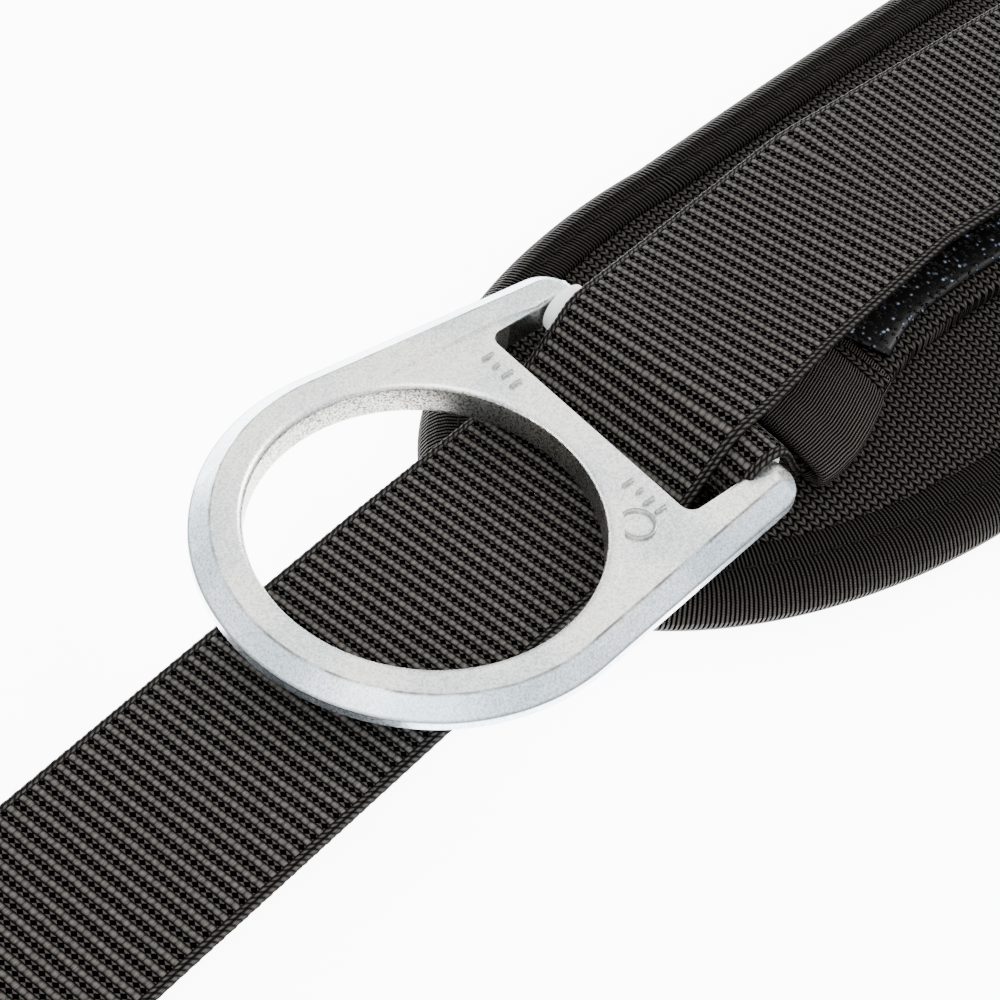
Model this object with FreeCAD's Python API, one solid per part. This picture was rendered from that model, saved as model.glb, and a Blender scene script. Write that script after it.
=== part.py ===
import FreeCAD, Part
import math
import os

# Tree climbing saddle, laid open and flat with its outer face up.  Millimetres, +Z up.
# X runs along the waist belt and Y across it (+Y is the belt's top edge when worn).
# The origin is the middle of the waist pad's wearer side, on the surface it lies on.

V = FreeCAD.Vector
os.makedirs("parts", exist_ok=True)

# --- waist pad -------------------------------------------------------------------------
waist_length = 700.0        # tip to tip
waist_end_half = 55.5       # half width where the rounded end begins
waist_mid_half = 68.0       # half width over the small of the back
waist_end_long = 93.0       # length of each rounded end
waist_foam = 10.4
# --- leg pads --------------------------------------------------------------------------
leg_length = 255.0
leg_end_half = 44.0
leg_mid_half = 48.0
leg_end_long = 60.0
leg_foam = 8.0
leg_inner_x = 90.0          # gap from the middle of the saddle to each leg pad
leg_y = -185.0              # centre line of the leg pads
# --- covers and edge tape --------------------------------------------------------------
skin = 0.8                  # cover, lining and edge tape
tape_width = 12.0           # edge tape showing on each face
# --- webbing ---------------------------------------------------------------------------
load_width = 44.0
load_thick = 2.2
hold_thick = 1.8            # inner webbing that holds the ring
hold_lap = 30.0             # degrees above level where it leaves the back of the bar
hold_bend = 4.0
hold_offset = -3.4          # its middle on the bar, from the ring axis
hold_ease = 52.0
hold_steps = (68.0, 50.0, 36.0, 24.0, 16.0, 8.0)   # stations inside the tunnel
hold_dip = 3.0
hold_end_gap = 8.0          # its ends stop short of the tunnel's
riser_width = 25.0
riser_thick = 1.6
leg_web_width = 44.0
layer_gap = 0.1             # between layers sewn together
bend_gap = 0.3              # between a webbing eye and the bar in it
# --- side D-ring -----------------------------------------------------------------------
eye_r = 32.0
rim_width = 9.6
ring_thick = 8.0
arm_taper = 6.7             # degrees, each arm leans in
slot_x = 38.7               # eye centre to the slot's long edge
slot_side_gap = 4.9         # beside the webbing
slot_corner = 2.5
bar_x = 57.3                # eye centre to the bar
bar_r = 4.0
bar_root = 2.5              # bar runs this far into each arm
ring_end_x = 61.8
ring_corner = 7.2
facet_in = 3.7              # outer facet, across
facet_down = 3.1            # outer facet, down
eye_round = 1.6
web_recess = 0.8
web_step_eye = 31.4         # half width of the recess beside the eye
web_step_slot = 28.9        # and at the slot
web_from = 8.0
web_flare = 2.3
web_run_out = 13.0
lip_land = 1.2              # flat left round the eye's lip
slot_round = 1.1            # slot's edges
ring_lift = 17.0            # underside of the ring above the ground
eye_past_pad = 11.0         # the pad's tip lies under the eye, short of its centre
ring_y = 1.5                # ring axis above the pad's axis
# --- wear sleeve on the bar ------------------------------------------------------------
turn_gap = 0.06             # radial running clearance
sleeve_wall = 1.14
sleeve_end_gap = 0.6
# --- route of the load webbing, from the eye centre towards the back -------------------
front_yaw = 0.15            # sideways run of the front strap, per mm
front_offset = -6.2
back_offset = 10.0          # where it settles, above the ring axis
settle_from = 30.0
settle_over = 100.0
front_gap = 1.3             # under the front strap, over the pad
bar_clear = 10.7            # straight runs end short of the bends
level_clear = 30.0
wrap_deg = 42.0             # lap over the bar before it drops into the slot
dip_r = 9.0                 # bend under the ring's web
proud_end_x = 200.0         # it stands clear of the pad up to here
sewn_x = 290.0              # and lies on it from here
roll_deg = 5.0              # far edge lower over the tunnel
roll_in = 30.0
roll_out = 60.0
front_level_x = 20.0
drop_start_x = -128.0
drop_end_x = -200.0
floor_z = 2.2               # middle of a strap that lies on the ground
strap_bar_x = -300.0        # bar of each front buckle half
fold_drop = 24.0            # over which the fold comes down from the bar
fold_back = 80.0            # free end sewn back on the strap
# --- front buckle ----------------------------------------------------------------------
buckle_bar_r = 3.5
rail_gap = 2.0              # side rails outside the webbing
rail_width = 7.0
rail_back = 6.0
plate_start = 12.0
buckle_length = 62.0
plate_thick = 2.2
plate_space = 4.8
pawl_thick = 4.2
pawl_pin_r = 2.5
pawl_pin_u = 30.0
pawl_pin_y = 23.0
rivet_r = 1.9
rivet_gap = 0.05
rivet_head = 1.3            # head past the shank
pin_head = 1.0
head_thick = 1.0
rivet_in = 4.0
plate_corner = 5.0
throat_r = 10.0             # opening for the tongue between the plates
# pawl outline: (outward from the strap bar, sideways), heel first
pawl_outline = ((19, 26), (19, 36), (33, 36.5), (42, 28), (56, 19), (56, 11), (51, 11),
                (47, 16), (36, 17.5), (26, 18.5))
spring_y = 12.5
spring_in = 2.0
spring_end_u = 34.0
spring_room = 0.4
spring_thick = 0.5
tongue_thick = 4.0
tongue_length = 58.0
tongue_neck_half = 9.0
tongue_head_half = 13.0
tongue_notch = (22.0, 15.0)  # catch notches, back from the tip
tongue_shoulder = 8.0
tongue_taper = 12.0
tongue_tip = 8.0
# --- keeper, tunnel, hook tape ---------------------------------------------------------
keeper_wall = 1.0
keeper_length = 22.0
keeper_x = -245.0
keeper_gap = 0.3
tunnel_start = 72.0
tunnel_end = 235.0
tunnel_past = 6.0           # past each edge of the webbing
tunnel_side = 1.5           # room beside the webbing inside
tunnel_room = 0.5           # and above it
tunnel_lift = 0.05          # under the sleeve's seam allowance
tunnel_wall = 1.0
ribbon_length = 24.0
ribbon_thick = 1.3
hook_past = 2.0
hook_thick = 1.7
hook_gap = 4.0
# --- leg buckle ------------------------------------------------------------------------
leg_bar_x = 52.0            # from the middle of the saddle
leg_bar_r = 3.0
leg_bar_z = 8.0
leg_rail = 5.0
leg_rail_high = 6.0
leg_frame_long = 33.0
leg_tail_x = 470.0
leg_clear = 60.0
leg_climb = 55.0            # over which the strap climbs onto the pad
leg_fold = 32.0             # sewn end under the bar
slide_bar_u = 17.0
slide_bar_r = 3.0
slide_travel = 4.0
slide_gap = 0.1
slide_tab = 2.4
# --- leg risers ------------------------------------------------------------------------
riser_x = (236.0, 178.0)
link_y = -80.0
link_z = 8.0
link_r = 2.0
link_reach = 14.0
link_inner_half = 13.6
link_corner = 3.0
tab_start_y = -40.0
tab_steps = (22.0, 16.0)    # back from the link, where the tab leaves the pad
tab_off = 10.0
tab_sag = 0.5
tail_short = 7.0            # sewn ends under the link
riser_drop = 24.0
riser_end_y = -160.0
# --- gear loops ------------------------------------------------------------------------
gear_x0 = 34.0
gear_x1 = 125.0
gear_end = 26.0             # ends past the loop's sides, held in the anchors
gear_axis_y = -38.0
gear_reach = 62.0
gear_r = 4.0
gear_bend = 30.0
gear_foot_bend = 10.0
anchor_wall = 1.2
anchor_length = 12.0
anchor_gap = 0.1

# --- places that follow from the sizes -------------------------------------------------
slot_half = load_width / 2 + slot_side_gap
tunnel_half = load_width / 2 + tunnel_past
hook_half = load_width / 2 + hook_past
waist_top = waist_foam + 2 * skin
leg_top = leg_foam + 2 * skin
ring_r = eye_r + rim_width
ring_top = ring_lift + ring_thick
bar_z = ring_lift + ring_thick / 2
eye_x = waist_length / 2 + eye_past_pad
sleeve_in = bar_r + turn_gap
sleeve_out = sleeve_in + sleeve_wall
hold_r = sleeve_out + bend_gap / 2 + hold_thick / 2
load_r = hold_r + hold_thick / 2 + layer_gap + load_thick / 2
front_z = waist_top + front_gap + load_thick / 2
strap_bar_z = floor_z + buckle_bar_r + bend_gap + load_thick / 2


def save(shape, name):
    """Write one node; a group keeps its separate solids."""
    solids = shape.Solids
    shape = solids[0] if len(solids) == 1 else Part.makeCompound(solids)
    shape.exportStep("parts/%s.step" % name)


def box(x0, x1, y0, y1, z0, z1):
    """A block between two corners, given in any order."""
    low = V(min(x0, x1), min(y0, y1), min(z0, z1))
    return Part.makeBox(abs(x1 - x0), abs(y1 - y0), abs(z1 - z0), low)


def rod(radius, start, end):
    """A round bar between two points."""
    return Part.makeCylinder(radius, (end - start).Length, start, end - start)


def flip(shape):
    """The same piece on the right-hand side."""
    return shape.mirror(V(0, 0, 0), V(1, 0, 0))


def prism(points, z0, z1):
    """A flat outline of straight edges, given height."""
    wire = Part.makePolygon([V(x, y, z0) for x, y in points + points[:1]])
    return Part.Face(wire).extrude(V(0, 0, z1 - z0))


def smooth(t):
    """0 to 1 with flat ends."""
    t = max(0.0, min(1.0, t))
    return t * t * (3 - 2 * t)


def strap(path, width, thick, across=V(0, 1, 0), rolls=None):
    """Flat webbing of one width and thickness along a path of points."""
    wires = []
    last = len(path) - 1
    for i, point in enumerate(path):
        run = path[min(i + 1, last)] - path[max(i - 1, 0)]
        run.normalize()
        side = across - run * across.dot(run)
        side.normalize()
        if rolls:
            side = FreeCAD.Rotation(run, rolls[i]).multVec(side)
        up = run.cross(side) * (thick / 2)
        side = side * (width / 2)
        corners = [side + up, up - side, V(0, 0, 0) - side - up, side - up]
        wires.append(Part.makePolygon([point + c for c in corners + corners[:1]]))
    return Part.makeLoft(wires, True, True)


def bend(x, z, radius, start, end, steps):
    """Points (x, z) round a bend; angles in degrees from +x towards +z."""
    out = []
    for i in range(steps + 1):
        a = math.radians(start + (end - start) * i / steps)
        out.append((x + radius * math.cos(a), z + radius * math.sin(a)))
    return out


# --- pads ------------------------------------------------------------------------------
def pad_outline(centre, half_long, end_half, mid_half, end_long, inset, z):
    """Two rounded ends joined by two long gentle arcs."""
    a = end_long - inset
    b = end_half - inset
    xe = half_long - end_long
    edges = []
    for side in (1, -1):
        middle = centre + V(side * xe, 0, z)
        oval = Part.Ellipse(middle + V(a, 0, 0), middle + V(0, b, 0), middle)
        first = -math.pi / 2 if side > 0 else math.pi / 2
        edges.append(Part.ArcOfEllipse(oval, first, first + math.pi).toShape())
        ends = [centre + V(side * xe, side * b, z), centre + V(-side * xe, side * b, z)]
        crown = centre + V(0, side * (mid_half - inset), z)
        edges.append(Part.Arc(ends[0], crown, ends[1]).toShape())
    return Part.Wire(Part.__sortEdges__(edges))


def pad(name, centre, half_long, end_half, mid_half, end_long, foam, mirrored):
    """Foam core, outer cover, wearer-side lining and the tape that binds their edge."""
    top = foam + 2 * skin

    def slab(inset, z0, z1):
        wire = pad_outline(centre, half_long, end_half, mid_half, end_long, inset, z0)
        return Part.Face(wire).extrude(V(0, 0, z1 - z0))

    core = slab(skin, skin, top - skin)
    cover = slab(tape_width, top - skin, top)
    lining = slab(tape_width, 0, skin)
    tape = slab(0, 0, top).cut(slab(tape_width, 0, top)).cut(core)
    pieces = {"foam": core, "cover": cover, "lining": lining, "binding": tape}
    for part_name, shape in pieces.items():
        if not mirrored:
            save(shape, "%s_%s" % (name, part_name))
            continue
        save(shape, "%s_%s_left" % (name, part_name))
        save(flip(shape), "%s_%s_right" % (name, part_name))


def waist_pad():
    pad("waist_pad", V(0, 0, 0), waist_length / 2, waist_end_half, waist_mid_half,
        waist_end_long, waist_foam, False)


def leg_pads():
    centre = V(-leg_inner_x - leg_length / 2, leg_y, 0)
    pad("leg_pad", centre, leg_length / 2, leg_end_half, leg_mid_half,
        leg_end_long, leg_foam, True)


# --- side D-ring -----------------------------------------------------------------------
def ring_outline(z):
    """Round rim, two arms that lean in, and rounded ends at the bar."""
    lean = math.radians(arm_taper)
    touch = V(ring_r * math.sin(lean), ring_r * math.cos(lean), z)
    slope = math.tan(lean)
    reach = ring_r / math.cos(lean)
    turn = math.pi / 2 - lean
    cut = ring_corner * math.tan(turn / 2)
    corner = V(ring_end_x, reach - slope * ring_end_x, z)
    on_arm = corner + V(-cut * math.cos(lean), cut * math.sin(lean), 0)
    on_end = corner - V(0, cut, 0)
    hub = on_end - V(ring_corner, 0, 0)
    half_way = (math.pi / 2 - lean) / 2
    mid = hub + V(math.cos(half_way), math.sin(half_way), 0) * ring_corner
    low = V(1, -1, 1)

    def down(p):
        return V(p.x * low.x, p.y * low.y, p.z)

    edges = [
        Part.Arc(touch, V(-ring_r, 0, z), down(touch)).toShape(),
        Part.makeLine(touch, on_arm),
        Part.Arc(on_arm, mid, on_end).toShape(),
        Part.makeLine(on_end, down(on_end)),
        Part.Arc(down(on_end), down(mid), down(on_arm)).toShape(),
        Part.makeLine(down(on_arm), down(touch)),
    ]
    return Part.Wire(Part.__sortEdges__(edges))


def d_ring():
    """One forging: eye, cross-web, slot and round bar."""
    blank = Part.Face(ring_outline(0)).extrude(V(0, 0, ring_thick))
    rims = [e for e in blank.Edges if abs(e.BoundBox.ZLength) < 1e-6]
    blank = blank.makeChamfer(facet_down, facet_in, rims)
    eye = Part.makeCylinder(eye_r, ring_thick, V(0, 0, 0))
    blank = blank.cut(eye)
    lips = [e for e in blank.Edges
            if hasattr(e.Curve, "Radius") and abs(e.Curve.Radius - eye_r) < 1e-6
            and abs(e.BoundBox.ZLength) < 1e-6]
    blank = blank.makeFillet(eye_round, lips)
    slot = box(slot_x, ring_end_x + 5, -slot_half, slot_half, -1, ring_thick + 1)
    long_edges = [e for e in slot.Edges
                  if e.BoundBox.ZLength > ring_thick and abs(e.BoundBox.XMin - slot_x) < 1e-6]
    blank = blank.cut(slot.makeFillet(slot_corner, long_edges))
    mouth = [e for e in blank.Edges
             if abs(e.BoundBox.ZLength) < 1e-6 and e.BoundBox.XMin > slot_x - 1
             and e.BoundBox.YMax < slot_half + 0.1 and e.BoundBox.YMin > -slot_half - 0.1
             and e.BoundBox.XMin < slot_x + slot_corner]
    blank = blank.makeFillet(slot_round, mouth)
    past_eye = eye_r + eye_round + lip_land
    side = [(web_from, web_step_eye), (slot_x + web_flare, web_step_slot),
            (slot_x + web_run_out, slot_half)]
    outline = side + [(x, -y) for x, y in reversed(side)]
    for z in (-1.0, ring_thick - web_recess):
        pocket = prism(outline, z, z + 1 + web_recess)
        pocket = pocket.cut(Part.makeCylinder(past_eye, ring_thick + 4, V(0, 0, -2)))
        blank = blank.cut(pocket)
    arm_in = slot_half + bar_root
    bar = rod(bar_r, V(bar_x, -arm_in, ring_thick / 2), V(bar_x, arm_in, ring_thick / 2))
    return blank.fuse(bar).removeSplitter()


def side_rings():
    ring = d_ring()
    ring.translate(V(-eye_x, ring_y, ring_lift))
    save(ring, "d_ring_left")
    save(flip(ring), "d_ring_right")
    half = slot_half - sleeve_end_gap
    start = V(bar_x - eye_x, ring_y - half, bar_z)
    end = start + V(0, 2 * half, 0)
    sleeve = rod(sleeve_out, start, end).cut(rod(sleeve_in, start, end))
    save(sleeve, "wear_sleeve_left")
    save(flip(sleeve), "wear_sleeve_right")


# --- load webbing ----------------------------------------------------------------------
def lateral(x):
    """Centre line of the load webbing across the belt, from the ring axis."""
    run = min(x, settle_from)
    ease = drop_start_x - drop_end_x
    if run < drop_start_x:
        t = min(1.0, (drop_start_x - run) / ease)
        run = drop_start_x - ease * (t - t * t / 2)
    front = front_offset + front_yaw * run
    return front + (back_offset - front) * smooth((x - settle_from) / settle_over)


def hold_lateral(x):
    """The inner webbing starts low on the bar and eases under the load webbing."""
    ease = smooth((x - bar_x) / hold_ease)
    return hold_offset + (lateral(x) - hold_offset) * ease


def load_side():
    """One half of the load webbing, from the middle of the back to its sewn end."""
    points = []
    sewn_z = waist_top + layer_gap + load_thick / 2
    proud_z = bar_z + load_r
    for x in (eye_x, (eye_x + sewn_x) / 2, sewn_x):
        points.append((x, sewn_z))
    for i in range(1, 9):
        x = sewn_x + (proud_end_x - sewn_x) * i / 8
        points.append((x, sewn_z + (proud_z - sewn_z) * smooth(i / 8)))
    for i in range(6):
        near = bar_x + bar_clear
        x = proud_end_x - level_clear
        points.append((x + (near - x) * i / 5, proud_z))
    points += bend(bar_x, bar_z, load_r, 90, 90 + wrap_deg, 6)
    lean = math.radians(wrap_deg)
    off_x, off_z = points[-1]
    fall = off_z - front_z - dip_r * (1 - math.cos(lean))
    dip_x = off_x - fall / math.tan(lean) - dip_r * math.sin(lean)
    points += bend(dip_x, front_z + dip_r, dip_r, -90 + wrap_deg, -90, 5)
    for i in range(5):
        x = front_level_x + (drop_start_x - front_level_x) * i / 4
        points.append((x, front_z))
    for i in range(1, 8):
        x = drop_start_x + (drop_end_x - drop_start_x) * i / 7
        points.append((x, front_z + (floor_z - front_z) * smooth(i / 7)))
    points.append(((drop_end_x + strap_bar_x) / 2, floor_z))
    eye = strap_bar_z - floor_z
    points += bend(strap_bar_x, strap_bar_z, eye, -90, -270, 10)
    top_z = floor_z + load_thick + layer_gap
    high = strap_bar_z + eye
    for i in range(1, 7):
        points.append((strap_bar_x + fold_drop * i / 6, high + (top_z - high) * smooth(i / 6)))
    points.append((strap_bar_x + fold_back, top_z))
    return points


def load_webbing():
    half = load_side()
    path = []
    rolls = []
    for side in (-1, 1):
        run = half[::-1] if side < 0 else half[1:]
        for x, z in run:
            path.append(V(side * (eye_x - x), ring_y + lateral(x), z))
            ease = smooth((x - bar_x) / roll_in) * (1 - smooth((x - proud_end_x) / roll_out))
            rolls.append(-roll_deg * ease)
    save(strap(path, load_width, load_thick, rolls=rolls), "load_webbing")


def hold_webbing():
    """Inner webbing: a hairpin round the sleeved bar with both legs in the tunnel."""
    low_z = waist_top + 2 * layer_gap + hold_thick / 2
    high_z = low_z + hold_thick + layer_gap
    lean = math.radians(90 - hold_lap)
    rise = bar_z + hold_r * math.cos(lean) - high_z - hold_bend * (1 - math.cos(lean))
    foot_x = bar_x + (hold_r + hold_bend) * math.sin(lean) + rise / math.tan(lean)
    leg = [tunnel_end - hold_end_gap] + [tunnel_start + step for step in hold_steps]
    path = [(x, high_z) for x in leg]
    path += bend(foot_x, high_z + hold_bend, hold_bend, -90, -180 + hold_lap, 5)
    path += bend(bar_x, bar_z, hold_r, hold_lap, 270, 20)
    path.append((tunnel_start - 2 * hold_dip, bar_z - hold_r - bend_gap))
    path.append((tunnel_start + hold_dip, low_z + layer_gap))
    path += [(x, low_z) for x in reversed(leg[:-1])]
    points = [V(x - eye_x, ring_y + hold_lateral(x), z) for x, z in path]
    shape = strap(points, load_width, hold_thick)
    save(shape, "ring_loop_webbing_left")
    save(flip(shape), "ring_loop_webbing_right")


def tunnel():
    """Fabric tunnel on the pad, its ribbon-bound mouth and the hook tape on top."""
    roof = waist_top + 2 * hold_thick + 3 * layer_gap + tunnel_room
    steps = 12

    def run(start, end, z):
        out = []
        for i in range(steps + 1):
            x = start + (end - start) * i / steps
            out.append(V(x - eye_x, ring_y + hold_lateral(x), z))
        return out

    mid = (waist_top + tunnel_lift + roof + tunnel_wall) / 2
    high = roof + tunnel_wall - waist_top - tunnel_lift
    outer = strap(run(tunnel_start, tunnel_end, mid), 2 * tunnel_half, high)
    lower = roof - waist_top - tunnel_lift
    hole_z = waist_top + tunnel_lift + lower / 2
    hole_wide = load_width + 2 * tunnel_side
    hole = strap(run(tunnel_start - 5, tunnel_end + 5, hole_z - 0.5), hole_wide, lower + 1)
    sleeve = outer.cut(hole)
    save(sleeve, "tunnel_sleeve_left")
    save(flip(sleeve), "tunnel_sleeve_right")
    tape_z = roof + tunnel_wall
    ribbon_mid = tape_z + ribbon_thick / 2
    ribbon = strap(run(tunnel_start, tunnel_start + ribbon_length, ribbon_mid),
                   2 * tunnel_half, ribbon_thick)
    save(ribbon, "tunnel_ribbon_left")
    save(flip(ribbon), "tunnel_ribbon_right")
    hook_start = tunnel_start + ribbon_length + hook_gap
    hooks = strap(run(hook_start, tunnel_end, tape_z + hook_thick / 2), 2 * hook_half, hook_thick)
    save(hooks, "hook_tape_left")
    save(flip(hooks), "hook_tape_right")


# --- front buckle ----------------------------------------------------------------------
def rails(length, width_half, z_half):
    """Side rails and the bar that a webbing eye goes round; u is outward from the bar."""
    shape = None
    for side in (1, -1):
        y0 = side * width_half
        rail = box(-rail_back, length, y0, y0 + side * rail_width, -z_half, z_half)
        shape = rail if shape is None else shape.fuse(rail)
    return shape.fuse(rod(buckle_bar_r, V(0, -width_half - 1, 0), V(0, width_half + 1, 0)))


def place_buckle(shape, right):
    """Put a buckle piece, drawn along +u, at the end of its strap."""
    y = ring_y + lateral(strap_bar_x)
    reach = eye_x - strap_bar_x
    shape = shape if right else flip(shape)
    shape.translate(V(reach if right else -reach, y, strap_bar_z))
    return shape


def front_buckle():
    rail_in = load_width / 2 + rail_gap
    half = rail_in + rail_width
    space = plate_space / 2
    outer = space + plate_thick
    plate_end = plate_start + buckle_length
    rivets = [(plate_start + rivet_in, s * (half - rivet_in)) for s in (1, -1)]
    rivets += [(plate_end - plate_corner, s * (half - plate_corner)) for s in (1, -1)]
    pins = [(pawl_pin_u, s * pawl_pin_y) for s in (1, -1)]

    def drilled(shape, places, radius):
        for u, y in places:
            shape = shape.cut(Part.makeCylinder(radius, 4 * outer, V(u, y, -2 * outer)))
        return shape

    def plate(z0, z1):
        blank = box(plate_start, plate_end, -half, half, z0, z1)
        corners = [e for e in blank.Edges if e.BoundBox.ZLength > plate_thick / 2]
        blank = blank.makeFillet(plate_corner, [e for e in corners if e.BoundBox.XMin > plate_end - 1])
        throat = Part.makeCylinder(throat_r, plate_thick, V(plate_end, 0, z0))
        blank = blank.cut(throat)
        return drilled(drilled(blank, rivets, rivet_r + rivet_gap), pins, pawl_pin_r + rivet_gap)

    base = plate(-outer, -space).fuse(rails(plate_start, rail_in, outer)).removeSplitter()
    save(place_buckle(base, False), "buckle_base")
    save(place_buckle(plate(space, outer), False), "buckle_cover")
    head = head_thick
    group = []
    for u, y in rivets:
        shank = Part.makeCylinder(rivet_r, 2 * outer, V(u, y, -outer))
        cap = Part.makeCylinder(rivet_r + rivet_head, head, V(u, y, outer))
        foot = Part.makeCylinder(rivet_r + rivet_head, head, V(u, y, -outer - head))
        group.append(shank.fuse([cap, foot]))
    save(place_buckle(Part.makeCompound(group), False), "buckle_rivets")
    group = []
    for u, y in pins:
        shank = Part.makeCylinder(pawl_pin_r, 2 * outer, V(u, y, -outer))
        cap = Part.makeCylinder(pawl_pin_r + pin_head, head, V(u, y, outer))
        group.append(shank.fuse(cap))
    save(place_buckle(Part.makeCompound(group), False), "buckle_pivot_pins")
    for side, name in ((1, "upper"), (-1, "lower")):
        pawl = prism([(u, side * y) for u, y in pawl_outline], -pawl_thick / 2, pawl_thick / 2)
        bore = Part.makeCylinder(pawl_pin_r + turn_gap, 4 * outer,
                                 V(pawl_pin_u, side * pawl_pin_y, -2 * outer))
        save(place_buckle(pawl.cut(bore), False), "buckle_pawl_" + name)
    group = []
    for side in (1, -1):
        y0 = side * spring_y
        leaf = box(plate_start + spring_in, spring_end_u, y0, y0 + side * spring_thick,
                   -space, space - spring_room)
        group.append(leaf)
    save(place_buckle(Part.makeCompound(group), False), "buckle_springs")


def buckle_tongue():
    rail_in = load_width / 2 + rail_gap
    half = rail_in + rail_width
    thick = tongue_thick / 2
    n = tongue_neck_half
    h = tongue_head_half
    end = plate_start + tongue_length
    shoulder = plate_start + tongue_shoulder
    back, front = tongue_notch
    right = [(plate_start - 1, half), (shoulder, half), (shoulder + tongue_taper, h),
             (end - back, h), (end - back, n), (end - front, n), (end - front, h),
             (end - tongue_tip, h), (end, h - tongue_tip * 3 / 4)]
    left = [(u, -y) for u, y in reversed(right)]
    blade = prism(right + left, -thick, thick)
    tongue = blade.fuse(rails(plate_start, rail_in, thick + 1.0)).removeSplitter()
    save(place_buckle(tongue, True), "buckle_tongue")


def strap_keeper():
    """Elastic band round the strap and its folded end, on the tongue side."""
    low = floor_z - load_thick / 2 - keeper_gap / 3
    high = floor_z + load_thick * 1.5 + layer_gap + keeper_gap
    half = load_width / 2 + keeper_gap
    x = eye_x - keeper_x
    y = ring_y + lateral(keeper_x)
    w = keeper_wall
    ends = (x - keeper_length / 2, x + keeper_length / 2)
    outer = box(ends[0], ends[1], y - half - w, y + half + w, low - w, high + w)
    hole = box(ends[0] - 1, ends[1] + 1, y - half, y + half, low, high)
    save(outer.cut(hole), "strap_keeper")


# --- leg loops -------------------------------------------------------------------------
def leg_webbing():
    on_pad = leg_top + layer_gap + load_thick / 2
    outer_x = leg_inner_x + leg_length
    foot = -outer_x - leg_clear
    points = [(-leg_tail_x, floor_z), (foot, floor_z)]
    for i in range(1, 7):
        points.append((foot + leg_climb * i / 6, floor_z + (on_pad - floor_z) * smooth(i / 6)))
    points += [(-outer_x + leg_clear, on_pad), (-leg_inner_x - leg_clear / 2, on_pad)]
    points.append((-leg_inner_x - layer_gap, on_pad))
    eye = leg_bar_r + bend_gap + load_thick / 2
    rise = leg_bar_z + eye
    for i in range(1, 6):
        x = -leg_inner_x + (leg_inner_x - leg_bar_x) * i / 6
        points.append((x, on_pad + (rise - on_pad) * smooth(i / 6)))
    points += bend(-leg_bar_x, leg_bar_z, eye, 90, -90, 10)
    points.append((-leg_bar_x - leg_fold / 2, leg_bar_z - eye))
    points.append((-leg_bar_x - leg_fold, leg_bar_z - eye))
    path = [V(x, leg_y, z) for x, z in points]
    shape = strap(path, leg_web_width, load_thick)
    save(shape, "leg_webbing_left")
    save(flip(shape), "leg_webbing_right")


def leg_buckles():
    """Frame with a fixed bar for the webbing eye and a sliding friction bar."""
    rail_in = leg_web_width / 2 + rail_gap
    high = leg_rail_high / 2
    frame = rod(leg_bar_r, V(0, -rail_in - 1, 0), V(0, rail_in + 1, 0))
    for side in (1, -1):
        y0 = side * rail_in
        frame = frame.fuse(box(-5, leg_frame_long, y0, y0 + side * leg_rail, -high, high))
        slot = box(slide_bar_u - slide_tab - slide_gap,
                   slide_bar_u + slide_tab + slide_gap + slide_travel,
                   y0 - side, y0 + side * (leg_rail - 1.5),
                   -slide_tab / 2 - slide_gap, slide_tab / 2 + slide_gap)
        frame = frame.cut(slot)
    frame = frame.fuse(box(leg_frame_long - leg_rail, leg_frame_long, -rail_in, rail_in,
                           -high, high)).removeSplitter()
    inner = rail_in - slide_gap * 2
    bar = rod(slide_bar_r, V(slide_bar_u, -inner, 0), V(slide_bar_u, inner, 0))
    tab_y = rail_in + leg_rail - 1.5 - slide_gap
    bar = bar.fuse(box(slide_bar_u - slide_tab, slide_bar_u + slide_tab, -tab_y, tab_y,
                       -slide_tab / 2, slide_tab / 2)).removeSplitter()
    for shape, name in ((frame, "leg_buckle_frame"), (bar, "leg_slide_bar")):
        shape.translate(V(-leg_bar_x, leg_y, leg_bar_z))
        save(shape, name + "_left")
        save(flip(shape), name + "_right")


# --- risers between belt and leg loops -------------------------------------------------
def link(x):
    """Rectangular wire link with its long bars along X."""
    a = link_inner_half + link_r
    c = link_corner
    pieces = []
    for y in (link_y, link_y - link_reach):
        pieces.append(rod(link_r, V(x - a + c, y, link_z), V(x + a - c, y, link_z)))
    for s in (1, -1):
        pieces.append(rod(link_r, V(x + s * a, link_y - c, link_z),
                          V(x + s * a, link_y - link_reach + c, link_z)))
    quarter = {(1, 1): 0, (-1, 1): 90, (-1, -1): 180, (1, -1): 270}
    for (sx, sy), turn in quarter.items():
        y = link_y - c if sy > 0 else link_y - link_reach + c
        hub = V(x + sx * (a - c), y, link_z)
        tube = Part.makeTorus(c, link_r, V(0, 0, 0), V(0, 0, 1), 0, 360, 90)
        tube.rotate(V(0, 0, 0), V(0, 0, 1), turn)
        tube.translate(hub)
        pieces.append(tube)
    return pieces[0].fuse(pieces[1:]).removeSplitter()


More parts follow.
